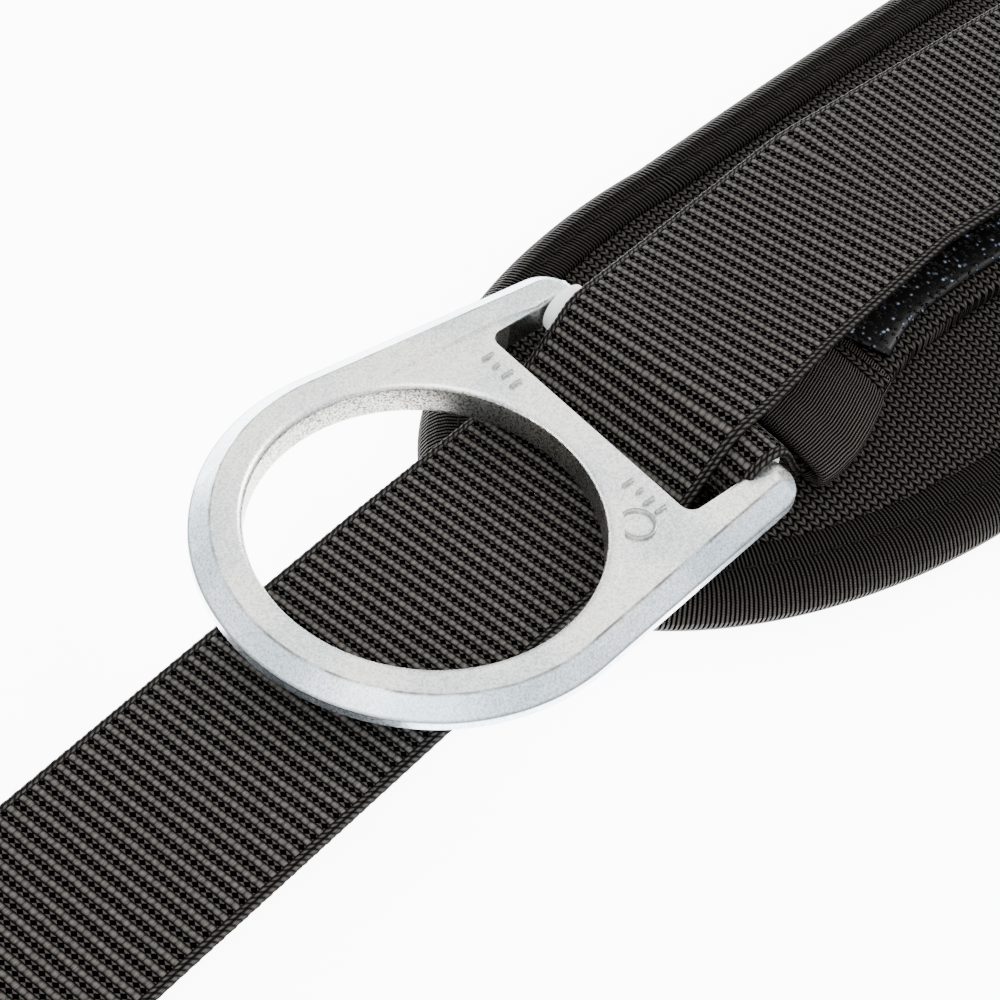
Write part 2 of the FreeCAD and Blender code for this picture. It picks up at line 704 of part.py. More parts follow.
def risers():
    eye = link_r + bend_gap + riser_thick / 2
    tabs = []
    links = []
    straps = []
    for x in riser_x:
        pad_z = waist_top + layer_gap + riser_thick / 2
        path = [(tab_start_y, pad_z)] + [(link_y + step, pad_z) for step in tab_steps]
        path.append((link_y + tab_off, pad_z - tab_sag))
        path += bend(link_y, link_z, eye, 90, 270, 10)
        path.append((link_y + tail_short, link_z - eye))
        points = [V(-x, y, z) for y, z in path]
        tabs.append(strap(points, riser_width, riser_thick, across=V(1, 0, 0)))
        links.append(link(-x))
        far = link_y - link_reach
        on_leg = leg_top + layer_gap + riser_thick / 2
        path = [(far - 2 * tail_short, link_z - eye), (far - tail_short, link_z - eye)]
        path += bend(far, link_z, eye, -90, 90, 10)
        path += [(far - tab_off, link_z + eye), (far - riser_drop, on_leg),
                 ((far - riser_drop + riser_end_y) / 2, on_leg), (riser_end_y, on_leg)]
        points = [V(-x, y, z) for y, z in path]
        straps.append(strap(points, riser_width, riser_thick, across=V(1, 0, 0)))
    for group, name in ((tabs, "riser_tabs"), (links, "riser_links"), (straps, "riser_straps")):
        shape = Part.makeCompound(group)
        save(shape, name + "_left")
        save(flip(shape), name + "_right")


# --- gear loops ------------------------------------------------------------------------
def gear_loops():
    z = waist_top + anchor_wall + anchor_gap + gear_r
    a = gear_foot_bend
    b = gear_bend
    low = gear_axis_y - gear_reach
    x0 = -gear_x1
    x1 = -gear_x0
    turn = math.sqrt(0.5)

    def p(x, y):
        return V(x, y, z)

    def arc(hub_x, hub_y, r, start, end):
        angles = [math.radians(t) for t in (start, (start + end) / 2, end)]
        pts = [p(hub_x + r * math.cos(t), hub_y + r * math.sin(t)) for t in angles]
        return Part.Arc(*pts).toShape()

    top = gear_axis_y
    edges = [
        Part.makeLine(p(x0 - gear_end, top), p(x0 - a, top)),
        arc(x0 - a, top - a, a, 90, 0),
        Part.makeLine(p(x0, top - a), p(x0, low + b)),
        arc(x0 + b, low + b, b, 180, 270),
        Part.makeLine(p(x0 + b, low), p(x1 - b, low)),
        arc(x1 - b, low + b, b, 270, 360),
        Part.makeLine(p(x1, low + b), p(x1, top - a)),
        arc(x1 + a, top - a, a, 180, 90),
        Part.makeLine(p(x1 + a, top), p(x1 + gear_end, top)),
    ]
    spine = Part.Wire(edges)
    start = p(x0 - gear_end, top)
    section = Part.Wire(Part.makeCircle(gear_r, start, V(1, 0, 0)))
    tube = spine.makePipeShell([section], True, False)
    save(tube, "gear_loop_left")
    save(flip(tube), "gear_loop_right")
    anchors = []
    outer_r = gear_r + anchor_gap + anchor_wall
    for foot, s in ((x0 - gear_foot_bend, -1), (x1 + gear_foot_bend, 1)):
        xa = foot + s
        xb = xa + s * anchor_length
        body = rod(outer_r, p(min(xa, xb), top), p(max(xa, xb), top))
        body = body.fuse(box(xa, xb, top - 9, top + 9, waist_top, waist_top + anchor_wall))
        hole = rod(gear_r + anchor_gap, p(-300, top), p(100, top))
        anchors.append(body.removeSplitter().cut(hole))
    group = Part.makeCompound(anchors)
    save(group, "gear_loop_anchors_left")
    save(flip(group), "gear_loop_anchors_right")


waist_pad()
leg_pads()
side_rings()
load_webbing()
hold_webbing()
tunnel()
front_buckle()
buckle_tongue()
strap_keeper()
leg_webbing()
leg_buckles()
risers()
gear_loops()
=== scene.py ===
import bpy
import bmesh
import math
from mathutils import Matrix, Vector
from mathutils.kdtree import KDTree


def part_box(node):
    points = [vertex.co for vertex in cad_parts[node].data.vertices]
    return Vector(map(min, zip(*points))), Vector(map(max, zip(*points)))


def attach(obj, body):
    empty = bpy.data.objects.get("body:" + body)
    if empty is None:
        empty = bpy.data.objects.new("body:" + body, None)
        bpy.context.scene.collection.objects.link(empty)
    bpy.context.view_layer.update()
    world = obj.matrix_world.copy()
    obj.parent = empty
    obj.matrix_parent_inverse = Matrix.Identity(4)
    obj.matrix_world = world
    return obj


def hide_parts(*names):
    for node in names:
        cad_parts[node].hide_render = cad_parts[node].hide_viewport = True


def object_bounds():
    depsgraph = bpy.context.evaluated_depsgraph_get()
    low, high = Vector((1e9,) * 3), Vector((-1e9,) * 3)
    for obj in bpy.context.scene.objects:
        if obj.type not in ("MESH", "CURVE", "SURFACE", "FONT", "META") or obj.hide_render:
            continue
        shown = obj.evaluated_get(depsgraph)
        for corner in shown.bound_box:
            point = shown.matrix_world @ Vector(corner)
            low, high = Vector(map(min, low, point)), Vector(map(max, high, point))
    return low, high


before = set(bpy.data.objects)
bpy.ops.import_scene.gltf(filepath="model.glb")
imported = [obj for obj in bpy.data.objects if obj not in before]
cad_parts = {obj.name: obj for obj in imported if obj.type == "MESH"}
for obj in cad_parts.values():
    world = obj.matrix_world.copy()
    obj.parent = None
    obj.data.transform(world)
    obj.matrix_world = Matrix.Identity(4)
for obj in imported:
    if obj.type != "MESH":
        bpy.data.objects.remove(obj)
cad_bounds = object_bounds()

# ======================================================================================
# Studio: a plain pale sweep, two large soft boxes and an even white room, as for a
# catalogue close-up.  The camera looks down on the left-hand ring along the belt.
# ======================================================================================
MM = 0.001
RING_LO, RING_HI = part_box("d_ring_left")
RIM = (RING_HI.y - RING_LO.y) / 2
EYE = Vector((RING_LO.x + RIM, (RING_LO.y + RING_HI.y) / 2, RING_HI.z))


def linear(hex_colour):
    """sRGB hex to the linear values a shader takes."""
    parts = [int(hex_colour[i:i + 2], 16) / 255 for i in (1, 3, 5)]
    return [c / 12.92 if c <= 0.04045 else ((c + 0.055) / 1.055) ** 2.4 for c in parts] + [1.0]


def add(tree, kind, inputs=None, **settings):
    """One shader node with its settings; an input is a constant or a socket to link."""
    made = tree.nodes.new(kind)
    for key, value in settings.items():
        setattr(made, key, value)
    for key, value in (inputs or {}).items():
        if isinstance(value, bpy.types.NodeSocket):
            tree.links.new(value, made.inputs[key])
        else:
            made.inputs[key].default_value = value
    return made


def new_material(name, **shader):
    """An empty material with its shader; constants go on the shader's own sockets."""
    made = bpy.data.materials.new(name)
    made.use_nodes = True
    tree = made.node_tree
    tree.nodes.clear()
    named = {key.replace("_", " ").title().replace("Ior", "IOR"): v for key, v in shader.items()}
    surface = add(tree, "ShaderNodeBsdfPrincipled", named)
    add(tree, "ShaderNodeOutputMaterial", {"Surface": surface.outputs[0]})
    return made, tree, surface


def sums(tree):
    """A short way to write the number nodes of one material."""
    def math_of(operation, a, b=0.0, c=0.0):
        return add(tree, "ShaderNodeMath", {0: a, 1: b, 2: c}, operation=operation).outputs[0]
    return math_of


def sheen_on_crowns(tree, surface, height, most):
    """Yarn shines only where it comes to the surface; the pits between stay black."""
    crowns = remap(tree, height, 0.45, 0.95, 0.0, most)
    tree.links.new(crowns, surface.inputs["Specular IOR Level"])


def noise(tree, where, scale, detail):
    """Even cloudy noise from nought to one."""
    return add(tree, "ShaderNodeTexNoise", {"Vector": where, "Scale": scale,
                                            "Detail": detail}).outputs["Fac"]


def remap(tree, value, low, high, to_low=0.0, to_high=1.0):
    """A value's range stretched onto another and held at its ends."""
    return add(tree, "ShaderNodeMapRange", {0: value, 1: low, 2: high, 3: to_low,
                                            4: to_high}).outputs[0]


def ramp(tree, factor, dark, dark_at, light, light_at):
    """Dark up to one value of the factor, then rising to light at another."""
    made = add(tree, "ShaderNodeValToRGB", {0: factor})
    for stop, colour, at in zip(made.color_ramp.elements, (dark, light), (dark_at, light_at)):
        stop.color = linear(colour)
        stop.position = at
    return made


def blend(tree, factor, first, second):
    """One colour over another by a factor."""
    return add(tree, "ShaderNodeMix", {"Factor": factor, 6: first, 7: second},
               data_type="RGBA").outputs[2]


def emboss(tree, surface, height, strength, distance):
    """The height worked into the surface, so many metres deep."""
    bump = add(tree, "ShaderNodeBump", {"Height": height, "Strength": strength,
                                        "Distance": distance})
    tree.links.new(bump.outputs[0], surface.inputs["Normal"])


def link_mesh(name, bm, material, smooth=True):
    """The finished bmesh as an object at the origin."""
    bmesh.ops.recalc_face_normals(bm, faces=bm.faces)
    mesh = bpy.data.meshes.new(name)
    bm.to_mesh(mesh)
    bm.free()
    mesh.polygons.foreach_set("use_smooth", [smooth] * len(mesh.polygons))
    mesh.materials.append(material)
    made = bpy.data.objects.new(name, mesh)
    bpy.context.scene.collection.objects.link(made)
    return made


sweep_paint, _, sweep_surface = new_material("sweep_paper", roughness=0.9)
sweep_surface.inputs["Base Color"].default_value = linear("#fbfbfb")
sweep_surface.inputs["Emission Color"].default_value = linear("#ffffff")
sweep_surface.inputs["Emission Strength"].default_value = 9.0
sweep = bmesh.new()
bmesh.ops.create_grid(sweep, x_segments=1, y_segments=1, size=40.0)
bmesh.ops.translate(sweep, verts=sweep.verts, vec=(0, 0, cad_bounds[0].z - 0.0002))
floor = link_mesh("studio_floor", sweep, sweep_paint, False)

world = bpy.data.worlds.new("studio_room")
world.use_nodes = True
room = world.node_tree.nodes["Background"]
room.inputs["Color"].default_value = linear("#ffffff")
aim = add(world.node_tree, "ShaderNodeTexCoord").outputs["Generated"]
upward = add(world.node_tree, "ShaderNodeSeparateXYZ", {0: aim}).outputs[2]
overhead = remap(world.node_tree, upward, 0.0, 0.8, 1.15, 2.5)
world.node_tree.links.new(overhead, room.inputs["Strength"])
bpy.context.scene.world = world


def soft_box(name, place, aim, size, power):
    lamp = bpy.data.lights.new(name, "AREA")
    lamp.shape = "RECTANGLE"
    lamp.size, lamp.size_y = size
    lamp.energy = power
    made = bpy.data.objects.new(name, lamp)
    made.location = place
    made.rotation_mode = "QUATERNION"
    made.rotation_quaternion = (Vector(aim) - Vector(place)).to_track_quat("-Z", "Y")
    bpy.context.scene.collection.objects.link(made)


soft_box("key_box", (1.0, -0.1, 0.85), (-0.3, 0, 0), (0.6, 0.5), 22)
soft_box("fill_box", (-1.3, -0.9, 1.1), (-0.3, 0, 0), (1.4, 1.0), 18)

CAMERA_FROM_EYE = Vector((-241.8, -233.8, 398.7)) * MM
LOOK_ACROSS = math.radians(48.03)
LOOK_DOWN = math.radians(49.29)
LEAN = math.radians(8.22)
look = Vector((math.sin(LOOK_ACROSS) * math.cos(LOOK_DOWN),
               math.cos(LOOK_ACROSS) * math.cos(LOOK_DOWN), -math.sin(LOOK_DOWN)))
camera = bpy.data.objects.new("camera", bpy.data.cameras.new("camera"))
camera.data.lens = 107.5
camera.data.sensor_width = 36.0
camera.data.clip_start = 0.01
camera.location = EYE + CAMERA_FROM_EYE
camera.rotation_mode = "QUATERNION"
turn = Matrix.Rotation(LEAN, 3, "Z")
camera.rotation_quaternion = (look.to_track_quat("-Z", "Y").to_matrix() @ turn).to_quaternion()
bpy.context.scene.collection.objects.link(camera)
bpy.context.scene.camera = camera

# ======================================================================================
# Side D-rings: forged carbon steel, barrel finished, then zinc plated and clear passivated.
# The forging's shape is the CAD solid, merged here; its cast marks are added, and shade is painted
# along its crease, facet foot and inner walls.
# ======================================================================================
ARM_LEAN = math.radians(6.7)
FACET_IN = 3.7 * MM
FACET_DOWN = 3.1 * MM
EYE_R = 32.0 * MM


def zinc_plate(name, least_painted_shade):
    """Satin blue-white zinc: soft reflection, fine grain from the forging die."""
    made, tree, surface = new_material(name, metallic=1.0)
    place = add(tree, "ShaderNodeTexCoord").outputs["Object"]
    cloud = noise(tree, place, 45.0, 3.0)
    tint = ramp(tree, cloud, "#dbe4e9", 0.40, "#ffffff", 0.60)
    # grain of the blasted die, 0.4 mm
    grain = noise(tree, place, 2500.0, 3.0)
    speck = remap(tree, grain, 0.36, 0.62, 0.66, 1.12)
    shade = add(tree, "ShaderNodeVectorMath", {0: tint.outputs[0], 1: speck},
                operation="MULTIPLY")
    # plan distance from the outline, for the die's crease line
    axes = add(tree, "ShaderNodeSeparateXYZ", {0: place})

    math_of = sums(tree)
    x = math_of("SUBTRACT", -EYE.x, math_of("ABSOLUTE", axes.outputs[0]))
    y = math_of("ABSOLUTE", math_of("SUBTRACT", axes.outputs[1], EYE.y))
    on_arm = math_of("GREATER_THAN", math_of("MULTIPLY", x, math.cos(ARM_LEAN)),
                     math_of("MULTIPLY", y, math.sin(ARM_LEAN)))
    arm = math_of("MULTIPLY_ADD", y, math.cos(ARM_LEAN), math_of(
        "MULTIPLY", x, math.sin(ARM_LEAN)))
    round_way = math_of("SQRT", math_of("MULTIPLY_ADD", x, x, math_of("MULTIPLY", y, y)))
    reach = add(tree, "ShaderNodeMix", {"Factor": on_arm, 2: round_way, 3: arm}).outputs[0]
    # painted shade: the outer facet is tinted bluer and greyer, the land inside the crease warmer
    facet = remap(tree, reach, RIM - FACET_IN - 0.3 * MM, RIM - FACET_IN + 0.3 * MM)
    painted_facet_tint = blend(tree, facet, linear("#fffef8"), linear("#e1eaf2"))
    shade = add(tree, "ShaderNodeVectorMath", {0: shade.outputs[0], 1: painted_facet_tint},
                operation="MULTIPLY")
    # painted shade: a dark line along the crease on top, broken by this noise, and one along the
    # foot of the outer facet
    stray = noise(tree, place, 120.0, 3.0)
    broken = remap(tree, stray, 0.36, 0.60, 0.15, 0.9)
    to_crease = math_of("ABSOLUTE", math_of("SUBTRACT", reach, RIM - FACET_IN))
    crease = remap(tree, to_crease, 0.08 * MM, 0.38 * MM, 1.0, 0.0)
    top = math_of("GREATER_THAN", axes.outputs[2], RING_HI.z - 1.2 * MM)
    to_parting = math_of("ABSOLUTE", math_of("SUBTRACT", axes.outputs[2],
                                             RING_HI.z - FACET_DOWN))
    parting = remap(tree, to_parting, 0.08 * MM, 0.4 * MM, 1.0, 0.0)
    outside = math_of("GREATER_THAN", reach, RIM - 0.7 * MM)
    line = math_of("MAXIMUM", math_of("MULTIPLY", math_of("MULTIPLY", crease, top), broken),
                   math_of("MULTIPLY", math_of("MULTIPLY", parting, outside), 0.75))
    # painted shade: the eye's wall is darker, mottled with the grain
    in_eye = math_of("LESS_THAN", round_way, EYE_R + 0.4 * MM)
    under_lip = math_of("LESS_THAN", axes.outputs[2], RING_HI.z - 1.3 * MM)
    # and so are the arms' inner faces beside the webbing
    in_slot = math_of("MULTIPLY", math_of("GREATER_THAN", x, 44.0 * MM), math_of(
        "LESS_THAN", y, 29.5 * MM))
    wall = math_of("MULTIPLY", math_of("MULTIPLY", math_of("MAXIMUM", in_eye, in_slot),
                                       under_lip), remap(tree, grain, 0.38, 0.60, 0.3, 1.0))
    # the cast marks' material takes a fixed share of the dark as well: painted shade on the marks
    line = math_of("MAXIMUM", math_of("MAXIMUM", line, wall), least_painted_shade)
    # all the painted shade blends towards this dark warm grey
    tree.links.new(blend(tree, line, shade.outputs[0], linear("#4f4a43")),
                   surface.inputs["Base Color"])
    rough = remap(tree, grain, 0.3, 0.7, 0.26, 0.40)
    tree.links.new(rough, surface.inputs["Roughness"])
    slow = noise(tree, place, 260.0, 2.0)
    relief = add(tree, "ShaderNodeMath", {0: grain, 1: 0.35,
                                          2: slow}, operation="MULTIPLY_ADD")
    emboss(tree, surface, relief.outputs[0], 0.6, 0.0002)
    return made


ZINC = zinc_plate("zinc_plated_forging", 0.0)
# the cast marks' zinc, with painted shade: darker all over than the web around them
ZINC_WITH_PAINTED_SHADE = zinc_plate("zinc_dulled_in_the_marks", 0.6)


def merged_copy(node, name, material):
    """A CAD node's triangles joined into one skin with soft shading and crisp edges."""
    bm = bmesh.new()
    bm.from_mesh(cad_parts[node].data)
    bmesh.ops.remove_doubles(bm, verts=bm.verts, dist=0.000002)
    mesh = bpy.data.meshes.new(name)
    bm.to_mesh(mesh)
    bm.free()
    for left_over in ("custom_normal", "sharp_face", "sharp_edge"):
        if left_over in mesh.attributes:
            mesh.attributes.remove(mesh.attributes[left_over])
    mesh.materials.clear()
    mesh.materials.append(material)
    made = bpy.data.objects.new(name, mesh)
    bpy.context.scene.collection.objects.link(made)
    mesh.polygons.foreach_set("use_smooth", [True] * len(mesh.polygons))
    mesh.set_sharp_from_angle(angle=math.radians(25))
    return made


for side, mirror in (("left", 1), ("right", -1)):
    # cast marks on the cross-web: a small raised ring and two rows of short bars
    bm = bmesh.new()
    for half in (-1, 1):
        for i in range(4):
            long_way = 2.7 if (i + half) % 3 else 1.6
            where = Vector((34.6 + 0.35 * (i % 2), half * (15.0 + 2.7 * i), -0.65))
            size = Matrix.Diagonal((long_way * MM, 0.8 * MM, 0.9 * MM, 1.0))
            bmesh.ops.create_cube(bm, size=1.0, matrix=Matrix.Translation(where * MM) @ size)
    bmesh.ops.bevel(bm, geom=bm.edges[:], offset=0.16 * MM, segments=2, affect="EDGES",
                    profile=0.5, material=-1)
    turned = bmesh.new()
    bmesh.ops.create_circle(turned, segments=8, radius=0.46 * MM,
                            matrix=Matrix.Translation((3.2 * MM, 0, 0)) @ Matrix.Rotation(
                                math.pi / 2, 4, "X"))
    bmesh.ops.spin(turned, geom=turned.edges[:], axis=(0, 0, 1), cent=(0, 0, 0), steps=32,
                   angle=math.tau, use_duplicate=False)
    bmesh.ops.remove_doubles(turned, verts=turned.verts, dist=1e-6)
    bmesh.ops.translate(turned, verts=turned.verts, vec=Vector((29.4, -23.0, -0.66)) * MM)
    spare = bpy.data.meshes.new("turned")
    turned.to_mesh(spare)
    turned.free()
    bm.from_mesh(spare)
    for v in bm.verts:
        v.co = Vector((mirror * (EYE.x + v.co.x), EYE.y + v.co.y, EYE.z + v.co.z))
    # the marks are drawn in the zinc with painted shade
    marks = link_mesh("ring_cast_marks_" + side, bm, ZINC_WITH_PAINTED_SHADE)
    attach(marks, "ring_" + side)
    ring = merged_copy("d_ring_" + side, "side_ring_" + side, ZINC)
    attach(ring, "ring_" + side)
    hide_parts("d_ring_" + side)

# ======================================================================================
# Load webbing: 44 mm black polyester, woven with wide and narrow rows of floats across
# the strap and a tight selvage.  One length runs from buckle to tongue through both rings.
# ======================================================================================
WEB_WIDTH = 44.0
ROW = 2.83                  # one wide and one narrow row, along the strap
FLOATS = 29                 # floats across the strap
SELVAGE = 1.8


def polyester_webbing():
    """Dull black filament yarn, with painted shade: black in the pits and grey on the crown of each
    float.
    """
    made, tree, surface = new_material("polyester_webbing", roughness=0.6)
    where = add(tree, "ShaderNodeUVMap", uv_map="cloth").outputs[0]
    axes = add(tree, "ShaderNodeSeparateXYZ", {0: where})
    wobble = noise(tree, where, 380.0, 1.0)

    math_of = sums(tree)
    along = math_of("MULTIPLY_ADD", wobble, 0.12, math_of(
        "MULTIPLY", axes.outputs[0], 1000.0 / ROW))
    across = math_of("MULTIPLY", axes.outputs[1], 1000.0 * FLOATS / WEB_WIDTH)
    row = math_of("FRACT", along)
    # wide row: half-round floats side by side, from 0 to 0.6 of the pitch
    wide_t = math_of("MULTIPLY", row, math.pi / 0.60)
    wide_on = math_of("LESS_THAN", row, 0.60)
    wide_len = math_of("POWER", math_of("MAXIMUM", math_of("SINE", wide_t), 0.0), 0.42)
    wide_rnd = math_of("POWER", math_of("ABSOLUTE", math_of(
        "SINE", math_of("MULTIPLY", across, math.pi))), 0.7)
    wide = math_of("MULTIPLY", math_of("MULTIPLY", wide_len, math_of(
        "MULTIPLY_ADD", wide_rnd, 0.22, 0.78)), wide_on)
    # narrow row: diamond pits between the crossings
    slim_off = math_of("ABSOLUTE", math_of("MULTIPLY", math_of("SUBTRACT", row, 0.80), 5.0))
    slim_on = math_of("GREATER_THAN", row, 0.60)
    slim_side = math_of("ABSOLUTE", math_of("MULTIPLY", math_of("SUBTRACT", math_of(
        "FRACT", across), 0.5), 2.0))
    pit = remap(tree, math_of("ADD", slim_off, slim_side), 0.66, 1.2, 0.0, 0.84)
    slim = math_of("MULTIPLY", pit, slim_on)
    body = math_of("MAXIMUM", wide, slim)
    # selvage: three fine cords along each edge
    edge_in = math_of("MINIMUM", axes.outputs[1], math_of("SUBTRACT", WEB_WIDTH * MM,
                                                          axes.outputs[1]))
    edge_on = math_of("LESS_THAN", edge_in, SELVAGE * MM)
    cord = math_of("ABSOLUTE", math_of("SINE", math_of("MULTIPLY", edge_in, math.pi * 1150)))
    twist = math_of("ABSOLUTE", math_of("SINE", math_of("MULTIPLY_ADD", along, math.pi * 2.0,
                    math_of("MULTIPLY", edge_in, 2600.0))))
    hem = math_of("MULTIPLY_ADD", math_of("MULTIPLY", math_of("POWER", cord, 0.6), math_of(
        "POWER", twist, 0.4)), 0.46, 0.42)
    height = add(tree, "ShaderNodeMix", {"Factor": edge_on, 2: body, 3: hem}).outputs[0]
    # filaments drawn out along the strap, 0.25 mm across
    drawn = add(tree, "ShaderNodeVectorMath", {0: where, 1: (0.22, 1.0, 1.0)},
                operation="MULTIPLY")
    thread = noise(tree, drawn.outputs[0], 4200.0, 2.0)
    # painted shade and light by the weave's height: black in the pits, grey on the crowns
    painted_shade_by_height = ramp(tree, height, "#000000", 0.38, "#4b4845", 0.98)
    middle = painted_shade_by_height.color_ramp.elements.new(0.72)
    middle.color = linear("#121110")
    fleck = remap(tree, thread, 0.3, 0.7, 0.55, 1.5)
    colour = add(tree, "ShaderNodeVectorMath", {0: painted_shade_by_height.outputs[0], 1: fleck},
                 operation="MULTIPLY")
    tree.links.new(colour.outputs[0], surface.inputs["Base Color"])
    sheen_on_crowns(tree, surface, height, 0.08)
    relief = math_of("MULTIPLY_ADD", thread, 0.12, height)
    emboss(tree, surface, relief, 1.0, 0.0006)
    return made


WEBBING = polyester_webbing()
STRAP_SECTION = [(-1.0, 0.0), (-0.988, 0.55), (-0.96, 0.82), (-0.88, 1.0), (-0.6, 1.0),
                 (-0.3, 1.0), (0.0, 1.0), (0.3, 1.0), (0.6, 1.0), (0.88, 1.0),
                 (0.96, 0.82), (0.988, 0.55)]
STRAP_SECTION = STRAP_SECTION + [(-y, -z) for y, z in STRAP_SECTION]


def lengths_along(points):
    """How far along a line each of its points lies."""
    lengths = [0.0]
    for a, b in zip(points, points[1:]):
        lengths.append(lengths[-1] + (b - a).length)
    return lengths


def points_along(points, lengths, stops):
    """The points at rising distances along a line."""
    out, k = [], 0
    for stop in stops:
        while k < len(points) - 2 and lengths[k + 1] < stop:
            k += 1
        t = (stop - lengths[k]) / max(1e-9, lengths[k + 1] - lengths[k])
        out.append(points[k].lerp(points[k + 1], t))
    return out


def even_points(points, step, rounds):
    """The route cut into equal steps, with its corners eased."""
    lengths = lengths_along([p.to_3d() for p in points])
    count = max(4, round(lengths[-1] / step))
    out = points_along(points, lengths, [lengths[-1] * i / count for i in range(count + 1)])
    for _ in range(rounds):
        out = [out[0]] + [(a + b * 2 + c) / 4 for a, b, c in zip(out, out[1:], out[2:])] + [out[-1]]
    return out


def woven_strap(name, route, width, thick, material, step=0.7, rounds=14, across=(0, 1, 0),
                rib=0.13, row=ROW, scallop=0.16):
    """A flat strap along a route of (x, y, z, roll in degrees), all in millimetres."""
    stations = even_points([Vector(tuple(p) + (0.0,) * (4 - len(p))) for p in route], step,
                           rounds)
    last = len(stations) - 1
    rings, marks = [], []
    travelled = 0.0
    for i, p in enumerate(stations):
        run = (stations[min(i + 1, last)] - stations[max(i - 1, 0)]).to_3d().normalized()
        side = Vector(across) - run * run.dot(Vector(across))
        side.normalize()
        side = Matrix.Rotation(math.radians(p[3]), 3, run) @ side
        up = run.cross(side)
        if i:
            travelled += (p.to_3d() - stations[i - 1].to_3d()).length
        phase = (travelled / row) % 1.0
        wave = abs(math.sin(math.pi * phase / 0.6)) if phase < 0.6 else 0.6 * abs(
            math.sin(math.pi * (phase - 0.6) / 0.4))
        ring = []
        for y, z in STRAP_SECTION:
            out = width / 2 + (scallop * (wave - 0.5) if abs(y) > 0.95 else 0.0)
            high = z * (thick / 2 + rib * (wave - 0.6))
            ring.append(p.to_3d() + side * (y * out) + up * high)
        rings.append(ring)
        marks.append(travelled)
    across_mm = [(y + 1) / 2 * width for y, z in STRAP_SECTION]
    return skin_rings(name, rings, marks, across_mm + across_mm[:1], material)


def skin_rings(name, rings, marks, around_mm, material, closed=False):
    """A skin over rings of points (mm); open runs are capped, closed ones joined end to end."""
    around, last = len(rings[0]), len(rings) - 1
    bm = bmesh.new()
    bmesh.ops.create_grid(bm, x_segments=around, y_segments=last, size=1.0)
    cloth = bm.loops.layers.uv.new("cloth")
    place = {v: (round((v.co.x + 1) / 2 * around), round((v.co.y + 1) / 2 * last))
             for v in bm.verts}
    for face in bm.faces:
        for corner in face.loops:
            ix, iy = place[corner.vert]
            corner[cloth].uv = (marks[iy] * MM, around_mm[ix] * MM)
    for v, (ix, iy) in place.items():
        v.co = rings[iy][ix % around] * MM
    bmesh.ops.remove_doubles(bm, verts=bm.verts, dist=1e-7)
    if not closed:
        rims = [e for e in bm.edges if e.is_boundary]
        bmesh.ops.holes_fill(bm, edges=rims, sides=0)
    return link_mesh(name, bm, material)


def ease(t):
    t = max(0.0, min(1.0, t))
    return t * t * (3 - 2 * t)


def bend(x, z, radius, start, end, steps):
    """Points (x, z) round a bend, in millimetres and degrees."""
    angles = [math.radians(start + (end - start) * i / steps) for i in range(steps + 1)]
    return [(x + radius * math.cos(a), z + radius * math.sin(a)) for a in angles]


EYE_X = -EYE.x / MM
RING_Y = EYE.y / MM
BAR_X = 57.3
BAR_Z = (RING_LO.z + RING_HI.z) / 2 / MM
PAD_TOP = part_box("waist_pad_cover")[1].z / MM
FRONT_Z = PAD_TOP + 2.4
LOAD_THICK = 2.2
HOLD_THICK = 1.8
HOLD_R = 6.25
LOAD_R = HOLD_R + 2.1
FLOOR_Z = 2.2
STRAP_BAR_X = -300.0
STRAP_BAR_Z = 7.1
PROUD_Z = BAR_Z + LOAD_R


def load_lateral(x):
    """Middle of the load webbing across the belt, from the ring's axis."""
    run = min(x, 30.0)
    if run < -128.0:
        t = min(1.0, (-128.0 - run) / 72.0)
        run = -128.0 - 72.0 * (t - t * t / 2)
    front = -6.2 + 0.15 * run
    return front + (10.0 - front) * ease((x - 30.0) / 100.0)


def load_half():
    """From the middle of the back over the bar, under the eye and round the buckle's bar."""
    sewn_z = PAD_TOP + 1.2
    points = [(EYE_X, sewn_z), (320.0, sewn_z), (290.0, sewn_z)]
    for i in range(1, 13):
        points.append((290.0 - 90.0 * i / 12, sewn_z + (PROUD_Z - sewn_z) * ease(i / 12)))
    points += [(170.0, PROUD_Z), (120.0, PROUD_Z), (80.0, PROUD_Z), (64.0, PROUD_Z)]
    points += bend(BAR_X, BAR_Z, LOAD_R, 90, 132, 8)
    fall = points[-1][1] - FRONT_Z - 9.0 * (1 - math.cos(math.radians(42)))
    dip_x = points[-1][0] - fall / math.tan(math.radians(42)) - 9.0 * math.sin(math.radians(42))
    points += bend(dip_x, FRONT_Z + 9.0, 9.0, -48, -90, 8)
    points += [(0.0, FRONT_Z), (-60.0, FRONT_Z), (-128.0, FRONT_Z)]
    for i in range(1, 13):
        points.append((-128.0 - 72.0 * i / 12, FRONT_Z + (FLOOR_Z - FRONT_Z) * ease(i / 12)))
    points.append((-250.0, FLOOR_Z))
    points += bend(STRAP_BAR_X, STRAP_BAR_Z, STRAP_BAR_Z - FLOOR_Z, -90, -270, 16)
    top_z = FLOOR_Z + 2.3
    high = 2 * STRAP_BAR_Z - FLOOR_Z
    for i in range(1, 9):
        points.append((STRAP_BAR_X + 3.0 * i, high + (top_z - high) * ease(i / 8)))
    points.append((STRAP_BAR_X + 80.0, top_z))
    return points


def load_route():
    half = load_half()
    route = []
    for hand in (-1, 1):
        for x, z in (half[::-1] if hand < 0 else half[1:]):
            roll = -5.0 * ease((x - BAR_X) / 30.0) * (1 - ease((x - 200.0) / 60.0))
            route.append((hand * (EYE_X - x), RING_Y + load_lateral(x), z, roll))
    return route


load = woven_strap("load_strap", load_route(), WEB_WIDTH, LOAD_THICK, WEBBING)
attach(load, "belt")
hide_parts("load_webbing")

# the inner webbing is the same cloth, folded round the bar so that the ring can't leave it
def hold_lateral(x):
    return -4.6 + (load_lateral(x) + 4.6) * ease((x - BAR_X) / 52.0)


